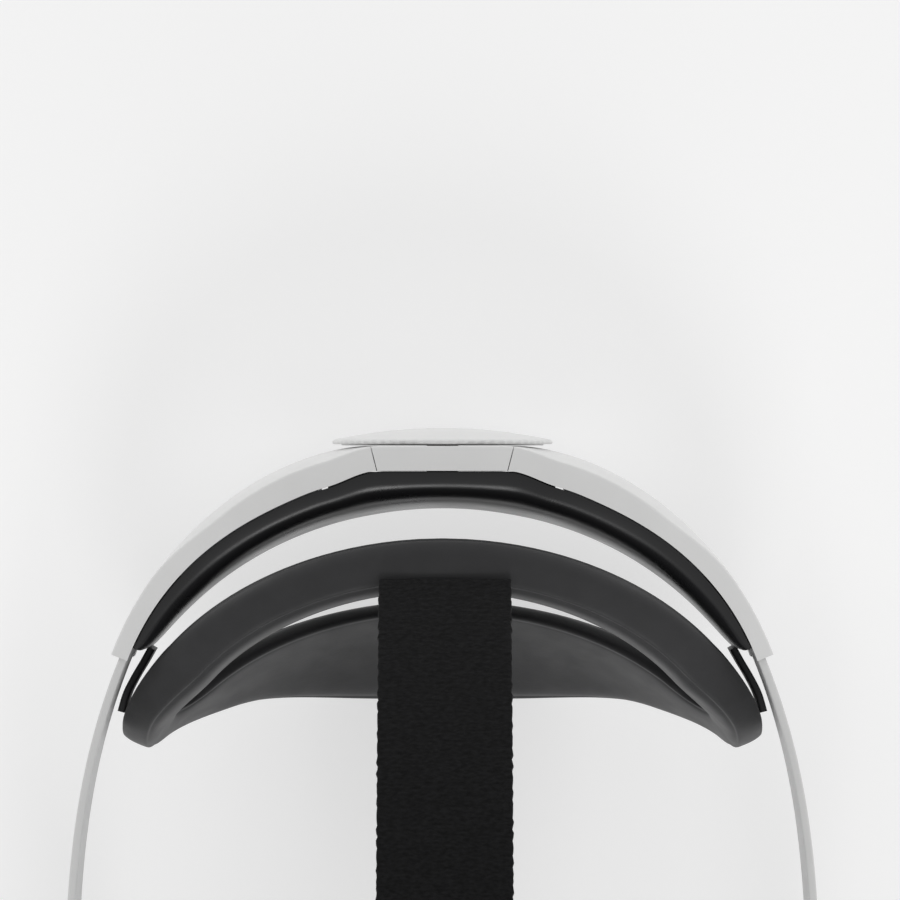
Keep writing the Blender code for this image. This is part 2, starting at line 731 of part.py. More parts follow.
def housing_heights(share):
    """The bottom and the top edge of the housing, which narrows towards its ends."""
    taper = smooth((abs(housing_plan(share)[0]) - 28) / 44)
    bottom = HOUSING_BOTTOM + (HOUSING_END_BOTTOM - HOUSING_BOTTOM) * taper
    return bottom, HOUSING_TOP - 1.5 * taper


def shell_section(share, wall):
    """The shell's section with a crisp top edge and a softly bellied outer wall, or the room inside it."""
    bottom, top = housing_heights(share)
    lean = top_lean(share)
    inner = cover_line(share) - GAP if wall == 0 else cover_line(share) + 4
    low, high = bottom + wall, top - wall
    points = [(inner, high), (lean + wall, high - 1.4), (lean * 0.4 + wall, high - 9 + wall),
              (wall, (low + high) / 2), (lean * 0.4 + wall, low + 9 - wall),
              (lean + wall + 0.4, low + 1.8), (inner, low)]
    return [housing_point(share, inset, z) for inset, z in points]


def housing_shares(limit, count):
    return [limit * (2 * k / (count - 1) - 1) for k in range(count)]


def wedge(name, half_rear, half_front, low, look=None):
    outline = [(-half_rear, 141), (half_rear, 141), (half_front, 131), (-half_front, 131)]
    return flat_mesh(name, outline, low, 82, "Z", look, cutters)


def build_housing():
    shell = loft("rear_housing_shell", [shell_section(s, 0) for s in housing_shares(1.0, 41)], WHITE)
    room_sections = [shell_section(s, HOUSING_WALL) for s in housing_shares(0.965, 35)]
    room = loft("housing_room", room_sections, None, collection=cutters)
    cut(shell, room)
    cap_floor = HOUSING_TOP - 3.4
    cut(shell, wedge("cap_seat", CAP_HALF_REAR, CAP_HALF_FRONT, cap_floor))
    bore = cylinder("dial_bore", DIAL_SHAFT_RADIUS + 0.5, 8, (0, 138.3, DIAL_Z), "Y", None, 24, cutters)
    cut(shell, bore)
    for side in SIDES.values():
        count = 7
        rings = []
        for k in range(count):
            y = BAND_REAR - 12 + 14 * k / (count - 1)
            ring = arm_section(side, y, BAND_THICKNESS + 1.2, BAND_BOTTOM - 0.6, ARM_TOP + 0.6)
            rings.append([(x + side * 0.6, y_, z) for x, y_, z in ring])
        cut(shell, loft(f"band_slot_{'left' if side > 0 else 'right'}", rings, None, collection=cutters))

    shares = housing_shares(0.32, 15)
    cap = loft("housing_centre_cap", [shell_section(s, 0) for s in shares], WHITE)
    combine(cap, wedge("cap_edge", CAP_HALF_REAR - GAP, CAP_HALF_FRONT - GAP, cap_floor + GAP), "INTERSECT")

    rings = []
    rise = 9
    for share in housing_shares(COVER_REACH, 37):
        bottom, top = housing_heights(share)
        middle = (bottom + top) / 2
        half = (top - bottom) / 2 - 0.6
        start = cover_line(share)
        swell = cover_swell(share)
        outer = []
        inner = []
        for k in range(rise):
            turn = math.pi * k / (rise - 1)
            reach = math.sin(turn) ** 0.55
            level = signed_power(math.cos(turn), 0.75)
            outer.append(housing_point(share, start + swell * reach, middle - half * level))
            inner_inset = start + (swell - COVER_WALL) * reach
            inner.append(housing_point(share, inner_inset, middle - (half - COVER_WALL) * level))
        rings.append(outer + inner[::-1])
    cover = loft("housing_inner_cover", rings, SATIN_BLACK)

    cells = []
    for side_name, side in SIDES.items():
        rings = []
        for k in range(9):
            share = side * (0.34 + 0.42 * k / 8)
            bottom, top = housing_heights(share)
            low, high = bottom + 7.5, top - 6
            deep = min(10.0, cover_line(share) + cover_swell(share) - COVER_WALL - 2.2)
            rings.append([housing_point(share, inset, z) for inset, z in
                          ((3.6, low), (3.6, high), (deep, high), (deep, low))])
        cells.append(loft("battery_cell_" + side_name, rings, CELL_SILVER))
    board = box("charge_board", (-20, 133.4, 29), (20, 134.6, 38), BOARD_GREEN)
    return [shell, cap, cover, board, *cells]


def build_dial():
    reach = DIAL_APEX_Y - DIAL_BASE_Y
    dome = (DIAL_RADIUS ** 2 + (reach - 0.9) ** 2) / (2 * (reach - 0.9))
    profile = []
    for k in range(8):
        radius = (DIAL_RADIUS - 0.3) * k / 7
        profile.append((radius, DIAL_APEX_Y - dome + math.sqrt(dome ** 2 - radius ** 2)))
    shaft_end = RACK_Y - 4.2
    profile += [(DIAL_RADIUS, DIAL_BASE_Y + 0.5), (DIAL_RADIUS - 0.4, DIAL_BASE_Y),
                (DIAL_SHAFT_RADIUS, DIAL_BASE_Y), (DIAL_SHAFT_RADIUS, shaft_end), (0, shaft_end)]
    dial = turned("fit_dial", profile, (0, DIAL_BASE_Y, DIAL_Z), WHITE, 56)
    outline = gear_outline(DIAL_PINION_RADIUS, DIAL_TEETH, 1.4, math.pi / 2)
    teeth = [(across, up + DIAL_Z) for across, up in outline]
    hub = [(across, up + DIAL_Z) for across, up in circle(DIAL_SHAFT_RADIUS + 0.3, (0, 0), 24)]
    pinion = flat_curve("dial_pinion", [teeth, hub], RACK_WIDTH, (0, RACK_Y, 0), "Y", STEEL)
    axle_empty("dial_axis", (0, DIAL_BASE_Y, DIAL_Z), (dial, pinion))

    pitch = 2 * math.pi * DIAL_PINION_RADIUS / DIAL_TEETH
    for side_name, side in SIDES.items():
        start = -pitch * 8 if side < 0 else -pitch * 2
        level = DIAL_Z - side * DIAL_PINION_RADIUS
        outline = [(across, up + level) for across, up in rack_outline(start, pitch, 10, 1.4, 3.6, -side)]
        near, far = RACK_Y - RACK_WIDTH / 2, RACK_Y + RACK_WIDTH / 2
        rack = flat_mesh("fit_rack_" + side_name, outline, near, far, "Y", GREY)
        axle_empty("rack_axis_" + side_name, (0, RACK_Y, level), (rack,))


# ---------------------------------------------------------------- head cradle


def cradle_surface(turn, z):
    """The head side of the cradle: an oval in plan that tucks forward under the back of the head."""
    drop = max(0.0, CRADLE_TOP_Z - z)
    tuck = CRADLE_TUCK * drop ** 2 + CRADLE_LOWER_TUCK * drop ** 6
    half = CRADLE_HALF_WIDTH - 0.30 * tuck + CRADLE_FLARE * smooth((abs(turn) - 0.93) / 0.3)
    return Vector((half * math.sin(turn), CRADLE_CENTRE_Y + (CRADLE_DEPTH - tuck) * math.cos(turn), z))


def cradle_frame_at(angle, across):
    """A point and the outward normal of the hoop, for a position along it and a distance across its width."""
    up = math.cos(angle)
    rise = CRADLE_RISE if up > 0 else CRADLE_DROP
    turn = CRADLE_TIP_TURN * signed_power(math.sin(angle), 0.85)
    z = CRADLE_TIP_Z + rise * up
    tip = abs(math.sin(angle)) ** 6
    turn_step = math.copysign(tip, math.sin(angle)) / CRADLE_HALF_WIDTH
    z_step = signed_power(up, 0.8)
    length = math.hypot(turn_step * CRADLE_HALF_WIDTH, z_step) or 1.0
    turn += turn_step / length * across
    z += z_step / length * across
    step = 0.01
    along = cradle_surface(turn + step, z) - cradle_surface(turn - step, z)
    rising = cradle_surface(turn, z + step) - cradle_surface(turn, z - step)
    normal = rising.cross(along).normalized()
    return cradle_surface(turn, z), normal


def cradle_width(angle):
    """Half the width of the hoop's band: wide at the back of the head, narrow at the tips."""
    middle = abs(math.cos(angle)) ** 1.5
    return CRADLE_TIP_HALF + (UPPER_BAND_SWELL if math.cos(angle) > 0 else LOWER_BAND_SWELL) * middle


def pad_depth(angle, across):
    """The pad's thickness: thinner at the tips, and along the lower band's upper edge."""
    thin = PAD_TIP_THINNING * smooth((abs(math.sin(angle)) - 0.75) / 0.25)
    edge = LOWER_EDGE_THINNING * math.sqrt(max(0.0, -math.cos(angle))) * (1 - across) / 2
    return PAD_THICKNESS * (1 - thin) * (1 - edge)


def cradle_ring(angle, shape):
    """A closed section from (place across the band, share of the pad's depth, distance beyond it)."""
    ring = []
    for across, share, beyond in shape:
        point, normal = cradle_frame_at(angle, across * cradle_width(angle))
        ring.append(point + normal * (pad_depth(angle, across) * share + beyond))
    return ring


def build_cradle():
    angles = [2 * math.pi * k / CRADLE_STATIONS for k in range(CRADLE_STATIONS)]
    back = GAP + CORE_THICKNESS
    soft = ((-0.8, 1.0, 0.0), (-0.87, 1.0, back - 0.6), (-0.93, 1.0, back - 0.3), (-1.0, 0.85, 0.0),
            (-1.0, 0.3, 0.0), (-0.82, 0.06, 0.0), (-0.4, 0.0, 0.0), (0.4, 0.0, 0.0), (0.82, 0.06, 0.0),
            (1.0, 0.3, 0.0), (1.0, 0.85, 0.0), (0.93, 1.0, back - 0.3), (0.87, 1.0, back - 0.6),
            (0.8, 1.0, 0.0))
    pad = loft("cradle_pad", [cradle_ring(angle, soft) for angle in angles], SOFT_BLACK, loop=True)
    plate = ((-0.76, 1.0, GAP), (-0.7, 1.0, back), (0.7, 1.0, back), (0.76, 1.0, GAP))
    core = loft("cradle_core", [cradle_ring(angle, plate) for angle in angles], SATIN_BLACK, loop=True)
    links = []
    for side_name, side in SIDES.items():
        route = ((64.0, 92.6), (65.6, 90.0), (67.5, 87.2), (69.4, 84.2), (70.8, 81.0))
        rings = []
        for k, (x, y) in enumerate(route):
            before, after = route[max(k - 1, 0)], route[min(k + 1, len(route) - 1)]
            along = Vector((after[0] - before[0], after[1] - before[1])).normalized()
            inner = Vector((x, y)) + Vector((along.y, -along.x)) * -1.6
            low, high = 46.0, 60.0
            rings.append([(side * x, y, low), (side * x, y, high),
                          (side * inner.x, inner.y, high), (side * inner.x, inner.y, low)])
        links.append(loft("cradle_link_" + side_name, rings, SATIN_BLACK))
    return [pad, core, *links]


# ---------------------------------------------------------------- top strap


def strap_height(y):
    """The strap's lower face: one parabola down to the cradle and one down to the loop on the visor."""
    end_y, end_z = STRAP_REAR if y > STRAP_TOP_Y else (STRAP_LOOP[0] + 4, STRAP_LOOP[1] - 4.4)
    share = (y - STRAP_TOP_Y) / (end_y - STRAP_TOP_Y)
    return STRAP_TOP_Z - (STRAP_TOP_Z - end_z) * share * share


def strap_rings(route):
    """Sections of webbing square to a route of (y, z) points on its lower face."""
    rings = []
    half = STRAP_WIDTH / 2
    for k, point in enumerate(route):
        before, after = route[max(k - 1, 0)], route[min(k + 1, len(route) - 1)]
        along = (Vector(after) - Vector(before)).normalized()
        up = Vector((-along.y, along.x)) * STRAP_THICKNESS
        y, z = point
        rings.append([(-half, y, z), (half, y, z), (half, y + up.x, z + up.y), (-half, y + up.x, z + up.y)])
    return rings


def build_top_strap():
    count = 13
    rear_y = [STRAP_TOP_Y + GAP / 2 + (STRAP_REAR[0] - STRAP_TOP_Y) * k / (count - 1) for k in range(count)]
    rear = loft("top_strap_rear", strap_rings([(y, strap_height(y)) for y in rear_y]), BLACK_WEAVE)

    loop_y, loop_z = STRAP_LOOP
    start = loop_y + 5.0
    lower = [STRAP_TOP_Y - GAP / 2 + (start - STRAP_TOP_Y) * k / (count - 1) for k in range(count)]
    route = [(y, strap_height(y)) for y in reversed(lower)]
    bend = 2.2 + STRAP_THICKNESS
    around = [math.radians(-70 - 200 * k / 8) for k in range(9)]
    turn = [(loop_y + bend * math.cos(a), loop_z + bend * math.sin(a)) for a in around]
    lift = STRAP_THICKNESS + 1.0
    upper = [start + (STRAP_TAIL_END - start) * k / 5 for k in range(6)]
    tail = [(y, strap_height(y) + lift + STRAP_THICKNESS) for y in upper]
    whole = tail[::-1] + turn[::-1] + route
    front = loft("top_strap_front", strap_rings(whole), BLACK_WEAVE)
    return front, rear


# ---------------------------------------------------------------- assembly


def build():
    front_shell = build_visor_shells()
    build_lens_panel()
    for side_name in SIDES:
        build_eye(side_name)
        build_temple(side_name)
    build_spacing_drive()
    build_electronics()
    build_face_interface()
    build_controls(front_shell)
    build_strap_loop()
    arm_pieces = [piece for side_name in SIDES for piece in build_arm(side_name)]
    axle_empty("temple_axis", (0, TEMPLE_Y, TEMPLE_Z), arm_pieces)
    housing_pieces = build_housing() + build_cradle()
    axle_empty("housing_slide", (0, HOUSING_CENTRE_Y, DIAL_Z), housing_pieces)
    build_dial()
    build_top_strap()


build()
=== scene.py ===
import json
import math

import bmesh
import bpy
from mathutils import Matrix, Vector


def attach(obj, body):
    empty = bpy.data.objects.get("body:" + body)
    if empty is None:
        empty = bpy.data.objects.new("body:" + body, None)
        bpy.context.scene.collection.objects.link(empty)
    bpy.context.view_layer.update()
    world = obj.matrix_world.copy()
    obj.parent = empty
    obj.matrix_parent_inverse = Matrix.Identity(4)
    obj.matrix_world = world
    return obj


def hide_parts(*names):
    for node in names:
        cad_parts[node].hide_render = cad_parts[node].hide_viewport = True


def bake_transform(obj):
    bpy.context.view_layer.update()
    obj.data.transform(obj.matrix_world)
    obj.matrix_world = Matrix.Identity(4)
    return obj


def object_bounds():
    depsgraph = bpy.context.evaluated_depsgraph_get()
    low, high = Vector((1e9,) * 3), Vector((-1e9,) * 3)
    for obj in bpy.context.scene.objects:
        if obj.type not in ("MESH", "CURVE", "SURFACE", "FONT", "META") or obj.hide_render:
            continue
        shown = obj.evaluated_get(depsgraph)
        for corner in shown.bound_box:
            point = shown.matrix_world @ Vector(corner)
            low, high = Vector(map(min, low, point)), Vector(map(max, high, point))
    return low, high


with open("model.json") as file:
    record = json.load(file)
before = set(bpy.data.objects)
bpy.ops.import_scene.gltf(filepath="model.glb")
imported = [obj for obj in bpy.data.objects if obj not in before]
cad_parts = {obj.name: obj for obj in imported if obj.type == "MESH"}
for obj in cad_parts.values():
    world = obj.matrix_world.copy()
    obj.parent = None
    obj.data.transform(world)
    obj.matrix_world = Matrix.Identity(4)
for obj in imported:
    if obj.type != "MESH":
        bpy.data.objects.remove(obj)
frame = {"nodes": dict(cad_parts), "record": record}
cad_low, cad_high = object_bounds()

# Sizes below are in millimetres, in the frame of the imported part:
# +Y to the rear, +Z up, +X the wearer's left.
MM = 0.001
GAP = 0.3
SEAM = 0.04
EDGE = 0.5
SIDES = {"left": 1, "right": -1}

VISOR_FRONT = -143.0
VISOR_HALF_WIDTH = 78.0
VISOR_HALF_HEIGHT = 43.6
VISOR_MIDDLE = 41.4
VISOR_SQUARENESS = 3.2
NOSE_LIFT = 21.0
NOSE_HALF = 21.0
FRONT_BOW_X = 300.0
FRONT_BOW_Z = 125.0
SHELL_SPLIT = -118.0
REAR_RIM = -108.3
SHELL_WALL = 2.0
WINDOW_INSET = 5.0
WINDOW_MIDDLE = 46.0
BUTTON_Y = -123.4
BUTTON_X = 45.0
BUTTON_RADIUS = 4.4
ROCKER_FROM = -50.5
ROCKER_TO = -39.5
ROCKER_RADIUS = 3.1
PORT_Y = -122.6
PORT_Z = 40.0
VENT_Y = -124.4
VENT_COUNT = 12
VENT_PITCH = 3.4
CAMERA_SPOTS = ((57, 62, 4.6), (-57, 62, 4.6), (58, 23, 4.6), (-58, 23, 4.6), (0, 37, 5.2))

FACE_HALF_WIDTH = 70.0
FACE_HALF_HEIGHT = 39.0
FACE_MIDDLE = 44.5
FACE_SQUARENESS = 2.6
FACE_WRAP = 24.0
FACE_FRONT = -105.7
FACE_FRAME_REAR = -97.0
CUSHION_DEPTH = 12.0

TEMPLE_Y = -85.0
TEMPLE_Z = 60.0
ARM_OUTER = 82.3
ARM_CURL_START = 5.0
ARM_CURL = 1.77e-5
ARM_TOP = 72.0
BAND_THICKNESS = 1.8
BAND_BOTTOM = 51.0
BAND_FRONT = 25.0
BAND_REAR = 95.5
SPEAKER_FROM = -34.0
SPEAKER_TO = 12.0
SPEAKER_LOW = 42.4
SPEAKER_HIGH = 69.6
SPEAKER_DEPTH = 9.0
GRILLE_SLOTS = 11
GRILLE_PITCH = 2.6
SLOT_RUN = 14.0

HOUSING_FLAT = 16.0
HOUSING_REACH = 60.0
HOUSING_CENTRE_Y = 75.0
HOUSING_DEPTH = 64.0
HOUSING_ROUNDNESS = 1.8
HOUSING_END_TURN = 0.785
HOUSING_TOP = 76.0
HOUSING_BOTTOM = 24.5
HOUSING_END_BOTTOM = 43.0
HOUSING_WALL = 1.8
HOUSING_SLIMMING = 0.44
TOP_LEAN = 2.1
COVER_INSET = 5.7
COVER_LIP_HALF = 66.6
COVER_LIP_DEPTH = 50.5
COVER_WALL = 1.6
COVER_REACH = 0.966
CAP_HALF_REAR = 16.2
CAP_HALF_FRONT = 13.6
CAP_DEPTH = 3.4
CAP_CLEARANCE = 0.18
SEAT_REAR = 141.0
SEAT_FRONT = 131.0

DIAL_Z = 50.0
DIAL_RADIUS = 24.4
DIAL_BASE_Y = 139.4
DIAL_APEX_Y = 143.0
DIAL_SHAFT_RADIUS = 3.5
DIAL_SHAFT_END = 127.3
DIAL_BORE = (134.3, 142.3)

CRADLE_CENTRE_Y = 60.0
CRADLE_HALF_WIDTH = 63.4
CRADLE_DEPTH = 48.0
CRADLE_TIP_Z = 45.0
CRADLE_RISE = 31.0
CRADLE_DROP = 22.7
CRADLE_TOP_Z = 85.0
CRADLE_TUCK = 0.0026
CRADLE_LOWER_TUCK = 6.0e-11
CRADLE_FLARE = 4.4
CRADLE_TIP_TURN = math.radians(69)
CRADLE_TIP_HALF = 6.5
UPPER_BAND_SWELL = 5.8
LOWER_BAND_SWELL = 8.3
PAD_THICKNESS = 9.0
PAD_TIP_THINNING = 0.4
LOWER_EDGE_THINNING = 0.8
CORE_THICKNESS = 1.8
LINK_ROUTE = ((63.2, 94.2), (65.0, 91.0), (66.9, 87.8), (68.7, 84.2), (69.8, 80.4))
LINK_THICKNESS = 1.6
LINK_BOTTOM = 46.0
LINK_TOP = 60.0

STRAP_WIDTH = 28.4
STRAP_SHIFT = 0.6
STRAP_THICKNESS = 1.6
STRAP_TOP_Y = -2.0
STRAP_TOP_Z = 141.0
STRAP_REAR = (108.8, 88.9)
STRAP_LOOP = (-113.0, 98.0)
STRAP_TAIL_END = -58.0
LOOP_BAR = 2.6
LOOP_HALF_HEIGHT = 7.0
LOOP_PATH_HALF = (18.7, 5.7)

# The photograph: a long lens looking straight down on the rear half.
LENS_PIXELS = 5520.0
ARM_LEVEL = 72.0
CAMERA_HEIGHT = 1200.0 + ARM_LEVEL
CAMERA_X = 1.67
CAMERA_Y = 138.1
PHOTO_SIDE = 900.0
SENSOR = 36.0

# Soft studio light: each lamp's name, place and width in metres, and power in watts.
LAMPS = (
    ("front_box", (0.15, -1.25, 0.75), 0.8, 4.0),
    ("key", (0.10, -0.90, 1.20), 0.5, 4.0),
    ("rim_left", (1.05, 0.85, 0.40), 0.8, 4.5),
    ("rim_right", (-1.05, 0.85, 0.40), 0.8, 4.5),
)
WORLD_STRENGTH = 0.40
FLOOR_GREY = 0.52
FLOOR_GLOW = 0.52
FLOOR_HALF = 6.0


# ---------------------------------------------------------------- camera, light and floor


def make_camera():
    data = bpy.data.cameras.new("camera")
    data.sensor_width = SENSOR
    data.lens = LENS_PIXELS / PHOTO_SIDE * SENSOR
    data.clip_end = 20.0
    camera = bpy.data.objects.new("camera", data)
    camera.location = Vector((CAMERA_X, CAMERA_Y, CAMERA_HEIGHT)) * MM
    bpy.context.scene.collection.objects.link(camera)
    bpy.context.scene.camera = camera


def make_light(name, place, aim, size, power):
    data = bpy.data.lights.new(name, "AREA")
    data.shape = "DISK"
    data.size = size
    data.energy = power
    light = bpy.data.objects.new(name, data)
    light.location = place
    light.rotation_mode = "QUATERNION"
    light.rotation_quaternion = (Vector(aim) - Vector(place)).to_track_quat("-Z", "Y")
    bpy.context.scene.collection.objects.link(light)


def make_studio():
    scene = bpy.context.scene
    scene.view_settings.view_transform = "Standard"
    scene.view_settings.look = "None"
    world = bpy.data.worlds.new("studio")
    world.use_nodes = True
    background = world.node_tree.nodes["Background"]
    background.inputs["Color"].default_value = (1.0, 1.0, 1.0, 1.0)
    background.inputs["Strength"].default_value = WORLD_STRENGTH
    scene.world = world
    middle = (cad_low + cad_high) / 2
    for name, place, size, power in LAMPS:
        make_light(name, place, middle, size, power)
    bm = bmesh.new()
    bmesh.ops.create_grid(bm, x_segments=1, y_segments=1, size=FLOOR_HALF)
    mesh = bpy.data.meshes.new("floor")
    bm.to_mesh(mesh)
    bm.free()
    floor = bpy.data.objects.new("floor", mesh)
    floor.location.z = cad_low.z - 0.0002
    bpy.context.scene.collection.objects.link(floor)
    paper = bpy.data.materials.new("pale_floor")
    paper.use_nodes = True
    shader = paper.node_tree.nodes["Principled BSDF"]
    shader.inputs["Base Color"].default_value = (FLOOR_GREY, FLOOR_GREY, FLOOR_GREY, 1.0)
    shader.inputs["Roughness"].default_value = 0.9
    shader.inputs["Emission Color"].default_value = (1.0, 1.0, 1.0, 1.0)
    shader.inputs["Emission Strength"].default_value = FLOOR_GLOW
    floor.data.materials.append(paper)


# ---------------------------------------------------------------- materials


class Look:
    """A procedural material: a Principled shader with textures in the object's own coordinates."""

    def __init__(self, name, colour, roughness, metallic=0.0, **sockets):
        self.material = bpy.data.materials.new(name)
        self.material.use_nodes = True
        self.tree = self.material.node_tree
        self.shader = self.tree.nodes["Principled BSDF"]
        self.colour = colour
        self.roughness = roughness
        self.set("Base Color", (*colour, 1.0))
        self.set("Roughness", roughness)
        self.set("Metallic", metallic)
        for socket, value in sockets.items():
            self.set(socket.replace("_", " "), value)
        self.place = self.tree.nodes.new("ShaderNodeTexCoord").outputs["Object"]
        self.height = None

    def set(self, socket, value):
        self.shader.inputs[socket].default_value = value

    def node(self, kind, **values):
        node = self.tree.nodes.new("ShaderNode" + kind)
        for name, value in values.items():
            setattr(node, name, value)
        return node

    def join(self, output, target):
        self.tree.links.new(output, target)

    def noise(self, size, detail=2.0, stretch=(1, 1, 1)):
        """Noise whose grains are about size millimetres across."""
        mapping = self.node("Mapping")
        mapping.inputs["Scale"].default_value = stretch
        self.join(self.place, mapping.inputs["Vector"])
        noise = self.node("TexNoise")
        noise.inputs["Scale"].default_value = 1.0 / (size * MM)
        noise.inputs["Detail"].default_value = detail
        self.join(mapping.outputs["Vector"], noise.inputs["Vector"])
        return noise.outputs["Fac"]

    def cells(self, size, feature="F1"):
        cells = self.node("TexVoronoi", feature=feature)
        cells.inputs["Scale"].default_value = 1.0 / (size * MM)
        self.join(self.place, cells.inputs["Vector"])
        return cells.outputs["Distance"]

    def ribs(self, pitch, direction, distortion=0.0):
        wave = self.node("TexWave", bands_direction=direction)
        wave.inputs["Scale"].default_value = math.pi / 10 / (pitch * MM)
        wave.inputs["Distortion"].default_value = distortion
        self.join(self.place, wave.inputs["Vector"])
        return wave.outputs["Fac"]

    def between(self, factor, low, high):
        """Maps a texture's middle range onto low to high."""
        spread = self.node("MapRange")
        spread.inputs["From Min"].default_value = 0.3
        spread.inputs["From Max"].default_value = 0.7
        spread.inputs["To Min"].default_value = low
        spread.inputs["To Max"].default_value = high
        self.join(factor, spread.inputs["Value"])
        return spread.outputs["Result"]

    def tint(self, factor, dark, light):
        """Colours the surface from dark to light times its own colour."""
        ramp = self.node("ValToRGB")
        ramp.color_ramp.elements[0].position = 0.32
        ramp.color_ramp.elements[1].position = 0.68
        ramp.color_ramp.elements[0].color = (*[c * dark for c in self.colour], 1.0)
        ramp.color_ramp.elements[1].color = (*[c * light for c in self.colour], 1.0)
        self.join(factor, ramp.inputs["Fac"])
        self.join(ramp.outputs["Color"], self.shader.inputs["Base Color"])
        return self

    def vary_roughness(self, factor, spread):
        low, high = self.roughness - spread, self.roughness + spread
        self.join(self.between(factor, low, high), self.shader.inputs["Roughness"])
        return self

    def bump(self, factor, depth, strength=1.0):
        """Adds relief of depth millimetres on top of any already there."""
        bump = self.node("Bump")
        bump.inputs["Strength"].default_value = strength
        bump.inputs["Distance"].default_value = depth * MM
        self.join(factor, bump.inputs["Height"])
        if self.height is not None:
            self.join(self.height, bump.inputs["Normal"])
        self.height = bump.outputs["Normal"]
        self.join(self.height, self.shader.inputs["Normal"])
        return self


def moulded_plastic(name, colour, roughness, grain=0.35, relief=0.012, **sockets):
    """Plastic with a fine spark-eroded grain, faint flow marks and slightly uneven gloss."""
    look = Look(name, colour, roughness, **sockets)
    look.tint(look.noise(9.0, 3.0), 0.985, 1.010)
    look.vary_roughness(look.noise(14.0, 4.0), 0.045)
    look.bump(look.noise(grain, 3.0), relief)
    look.bump(look.noise(26.0, 2.0), 0.012)
    return look.material


def soft_skin(name, colour, roughness):
    """Smooth moulded polyurethane over foam: fine pores, faint long dents and a soft sheen."""
    look = Look(name, colour, roughness, Sheen_Weight=0.12, Sheen_Roughness=0.5)
    look.tint(look.noise(5.0, 4.0), 0.90, 1.08)
    look.vary_roughness(look.noise(7.0, 3.0), 0.06)
    look.bump(look.cells(0.42, "SMOOTH_F1"), 0.025, 0.7)
    look.bump(look.noise(9.0, 2.0), 0.10, 0.6)
    return look.material


def brushed_loop(name, colour):
    """Brushed hook-and-loop webbing: a matt nap of short tangled loops over a fine cross rib."""
    look = Look(name, colour, 0.92, Sheen_Weight=0.07, Sheen_Roughness=0.5, Specular_IOR_Level=0.18)
    nap = look.noise(0.62, 5.0, (0.5, 1.0, 1.0))
    look.tint(nap, 0.30, 2.1)
    look.bump(nap, 0.22, 0.8)
    look.bump(look.noise(0.24, 4.0), 0.10, 0.7)
    look.bump(look.ribs(1.2, "Y", 3.0), 0.05, 0.4)
    return look.material


def woven_tape(name, colour):
    """Narrow woven edging with a rib every 0.9 mm."""
    look = Look(name, colour, 0.85, Sheen_Weight=0.2)
    ribs = look.ribs(0.9, "Y", 0.6)
    look.tint(ribs, 0.6, 1.35)
    look.bump(ribs, 0.12)
    look.bump(look.noise(0.3, 3.0), 0.05)
    return look.material


def knit(name, colour):
    """Spacer knit over a cushion: small round stitches."""
    look = Look(name, colour, 0.88, Sheen_Weight=0.3, Sheen_Roughness=0.5)
    stitches = look.cells(0.8, "SMOOTH_F1")
    look.tint(stitches, 1.35, 0.6)
    look.bump(stitches, 0.16, 0.9)
    look.bump(look.noise(6.0, 3.0), 0.15, 0.5)
    return look.material


def metal(name, colour, roughness):
    look = Look(name, colour, roughness, metallic=1.0)
    look.tint(look.noise(3.0, 3.0), 0.93, 1.05)
    look.vary_roughness(look.noise(1.2, 4.0, (1, 8, 1)), 0.07)
    look.bump(look.noise(0.4, 2.0, (1, 10, 1)), 0.006)
    return look.material


def circuit_board(name):
    look = Look(name, (0.015, 0.10, 0.055), 0.45)
    look.tint(look.cells(1.6, "DISTANCE_TO_EDGE"), 0.55, 1.5)
    look.bump(look.cells(1.6, "F1"), 0.06)
    return look.material


def foil(name):
    look = Look(name, (0.42, 0.43, 0.45), 0.34, metallic=0.8)
    look.tint(look.noise(4.0, 4.0), 0.88, 1.08)
    look.bump(look.noise(5.0, 4.0), 0.18, 0.5)
    return look.material


def make_materials():
    looks = {
        "white_shell": moulded_plastic("white_shell", (0.80, 0.80, 0.795), 0.46),
        "white_arm": moulded_plastic("white_arm", (0.74, 0.74, 0.735), 0.50),
        "satin_black": moulded_plastic(
            "satin_black", (0.014, 0.014, 0.015), 0.30, 0.5, 0.008, Coat_Weight=0.15, Coat_Roughness=0.25
        ),
        "matt_black": moulded_plastic("matt_black", (0.022, 0.022, 0.023), 0.55, 0.3, 0.02),
        "dark_grey": moulded_plastic("dark_grey", (0.10, 0.10, 0.105), 0.5),
        "window": moulded_plastic(
            "window", (0.006, 0.007, 0.010), 0.07, 20.0, 0.002, Coat_Weight=0.6, Coat_Roughness=0.03
        ),
        "camera_glass": moulded_plastic(
            "camera_glass", (0.004, 0.004, 0.012), 0.05, 20.0, 0.001, Coat_Weight=1.0, Coat_Roughness=0.02
        ),
        "pad_skin": soft_skin("pad_skin", (0.022, 0.022, 0.0235), 0.58),
        "strap_nap": brushed_loop("strap_nap", (0.0042, 0.0042, 0.0045)),
        "strap_edge": woven_tape("strap_edge", (0.020, 0.020, 0.021)),
        "thread": woven_tape("thread", (0.035, 0.035, 0.037)),
        "face_knit": knit("face_knit", (0.024, 0.024, 0.026)),
        "steel": metal("steel", (0.62, 0.62, 0.63), 0.28),
        "board": circuit_board("board"),
        "cell_foil": foil("cell_foil"),
    }
    lens = Look("lens_glass", (0.20, 0.16, 0.30), 0.03, Transmission_Weight=0.55, IOR=1.49, Coat_Weight=1.0,
                Coat_Roughness=0.02)
    lens.tint(lens.noise(18.0, 1.0), 0.9, 1.1)
    looks["lens_glass"] = lens.material
    return looks


# ---------------------------------------------------------------- mesh helpers


def smooth(value):
    value = min(max(value, 0.0), 1.0)
    return value * value * (3 - 2 * value)


def signed_power(value, power):
    return math.copysign(abs(value) ** power, value)


def new_object(name, mesh):
    obj = bpy.data.objects.new(name, mesh)
    bpy.context.scene.collection.objects.link(obj)
    return obj


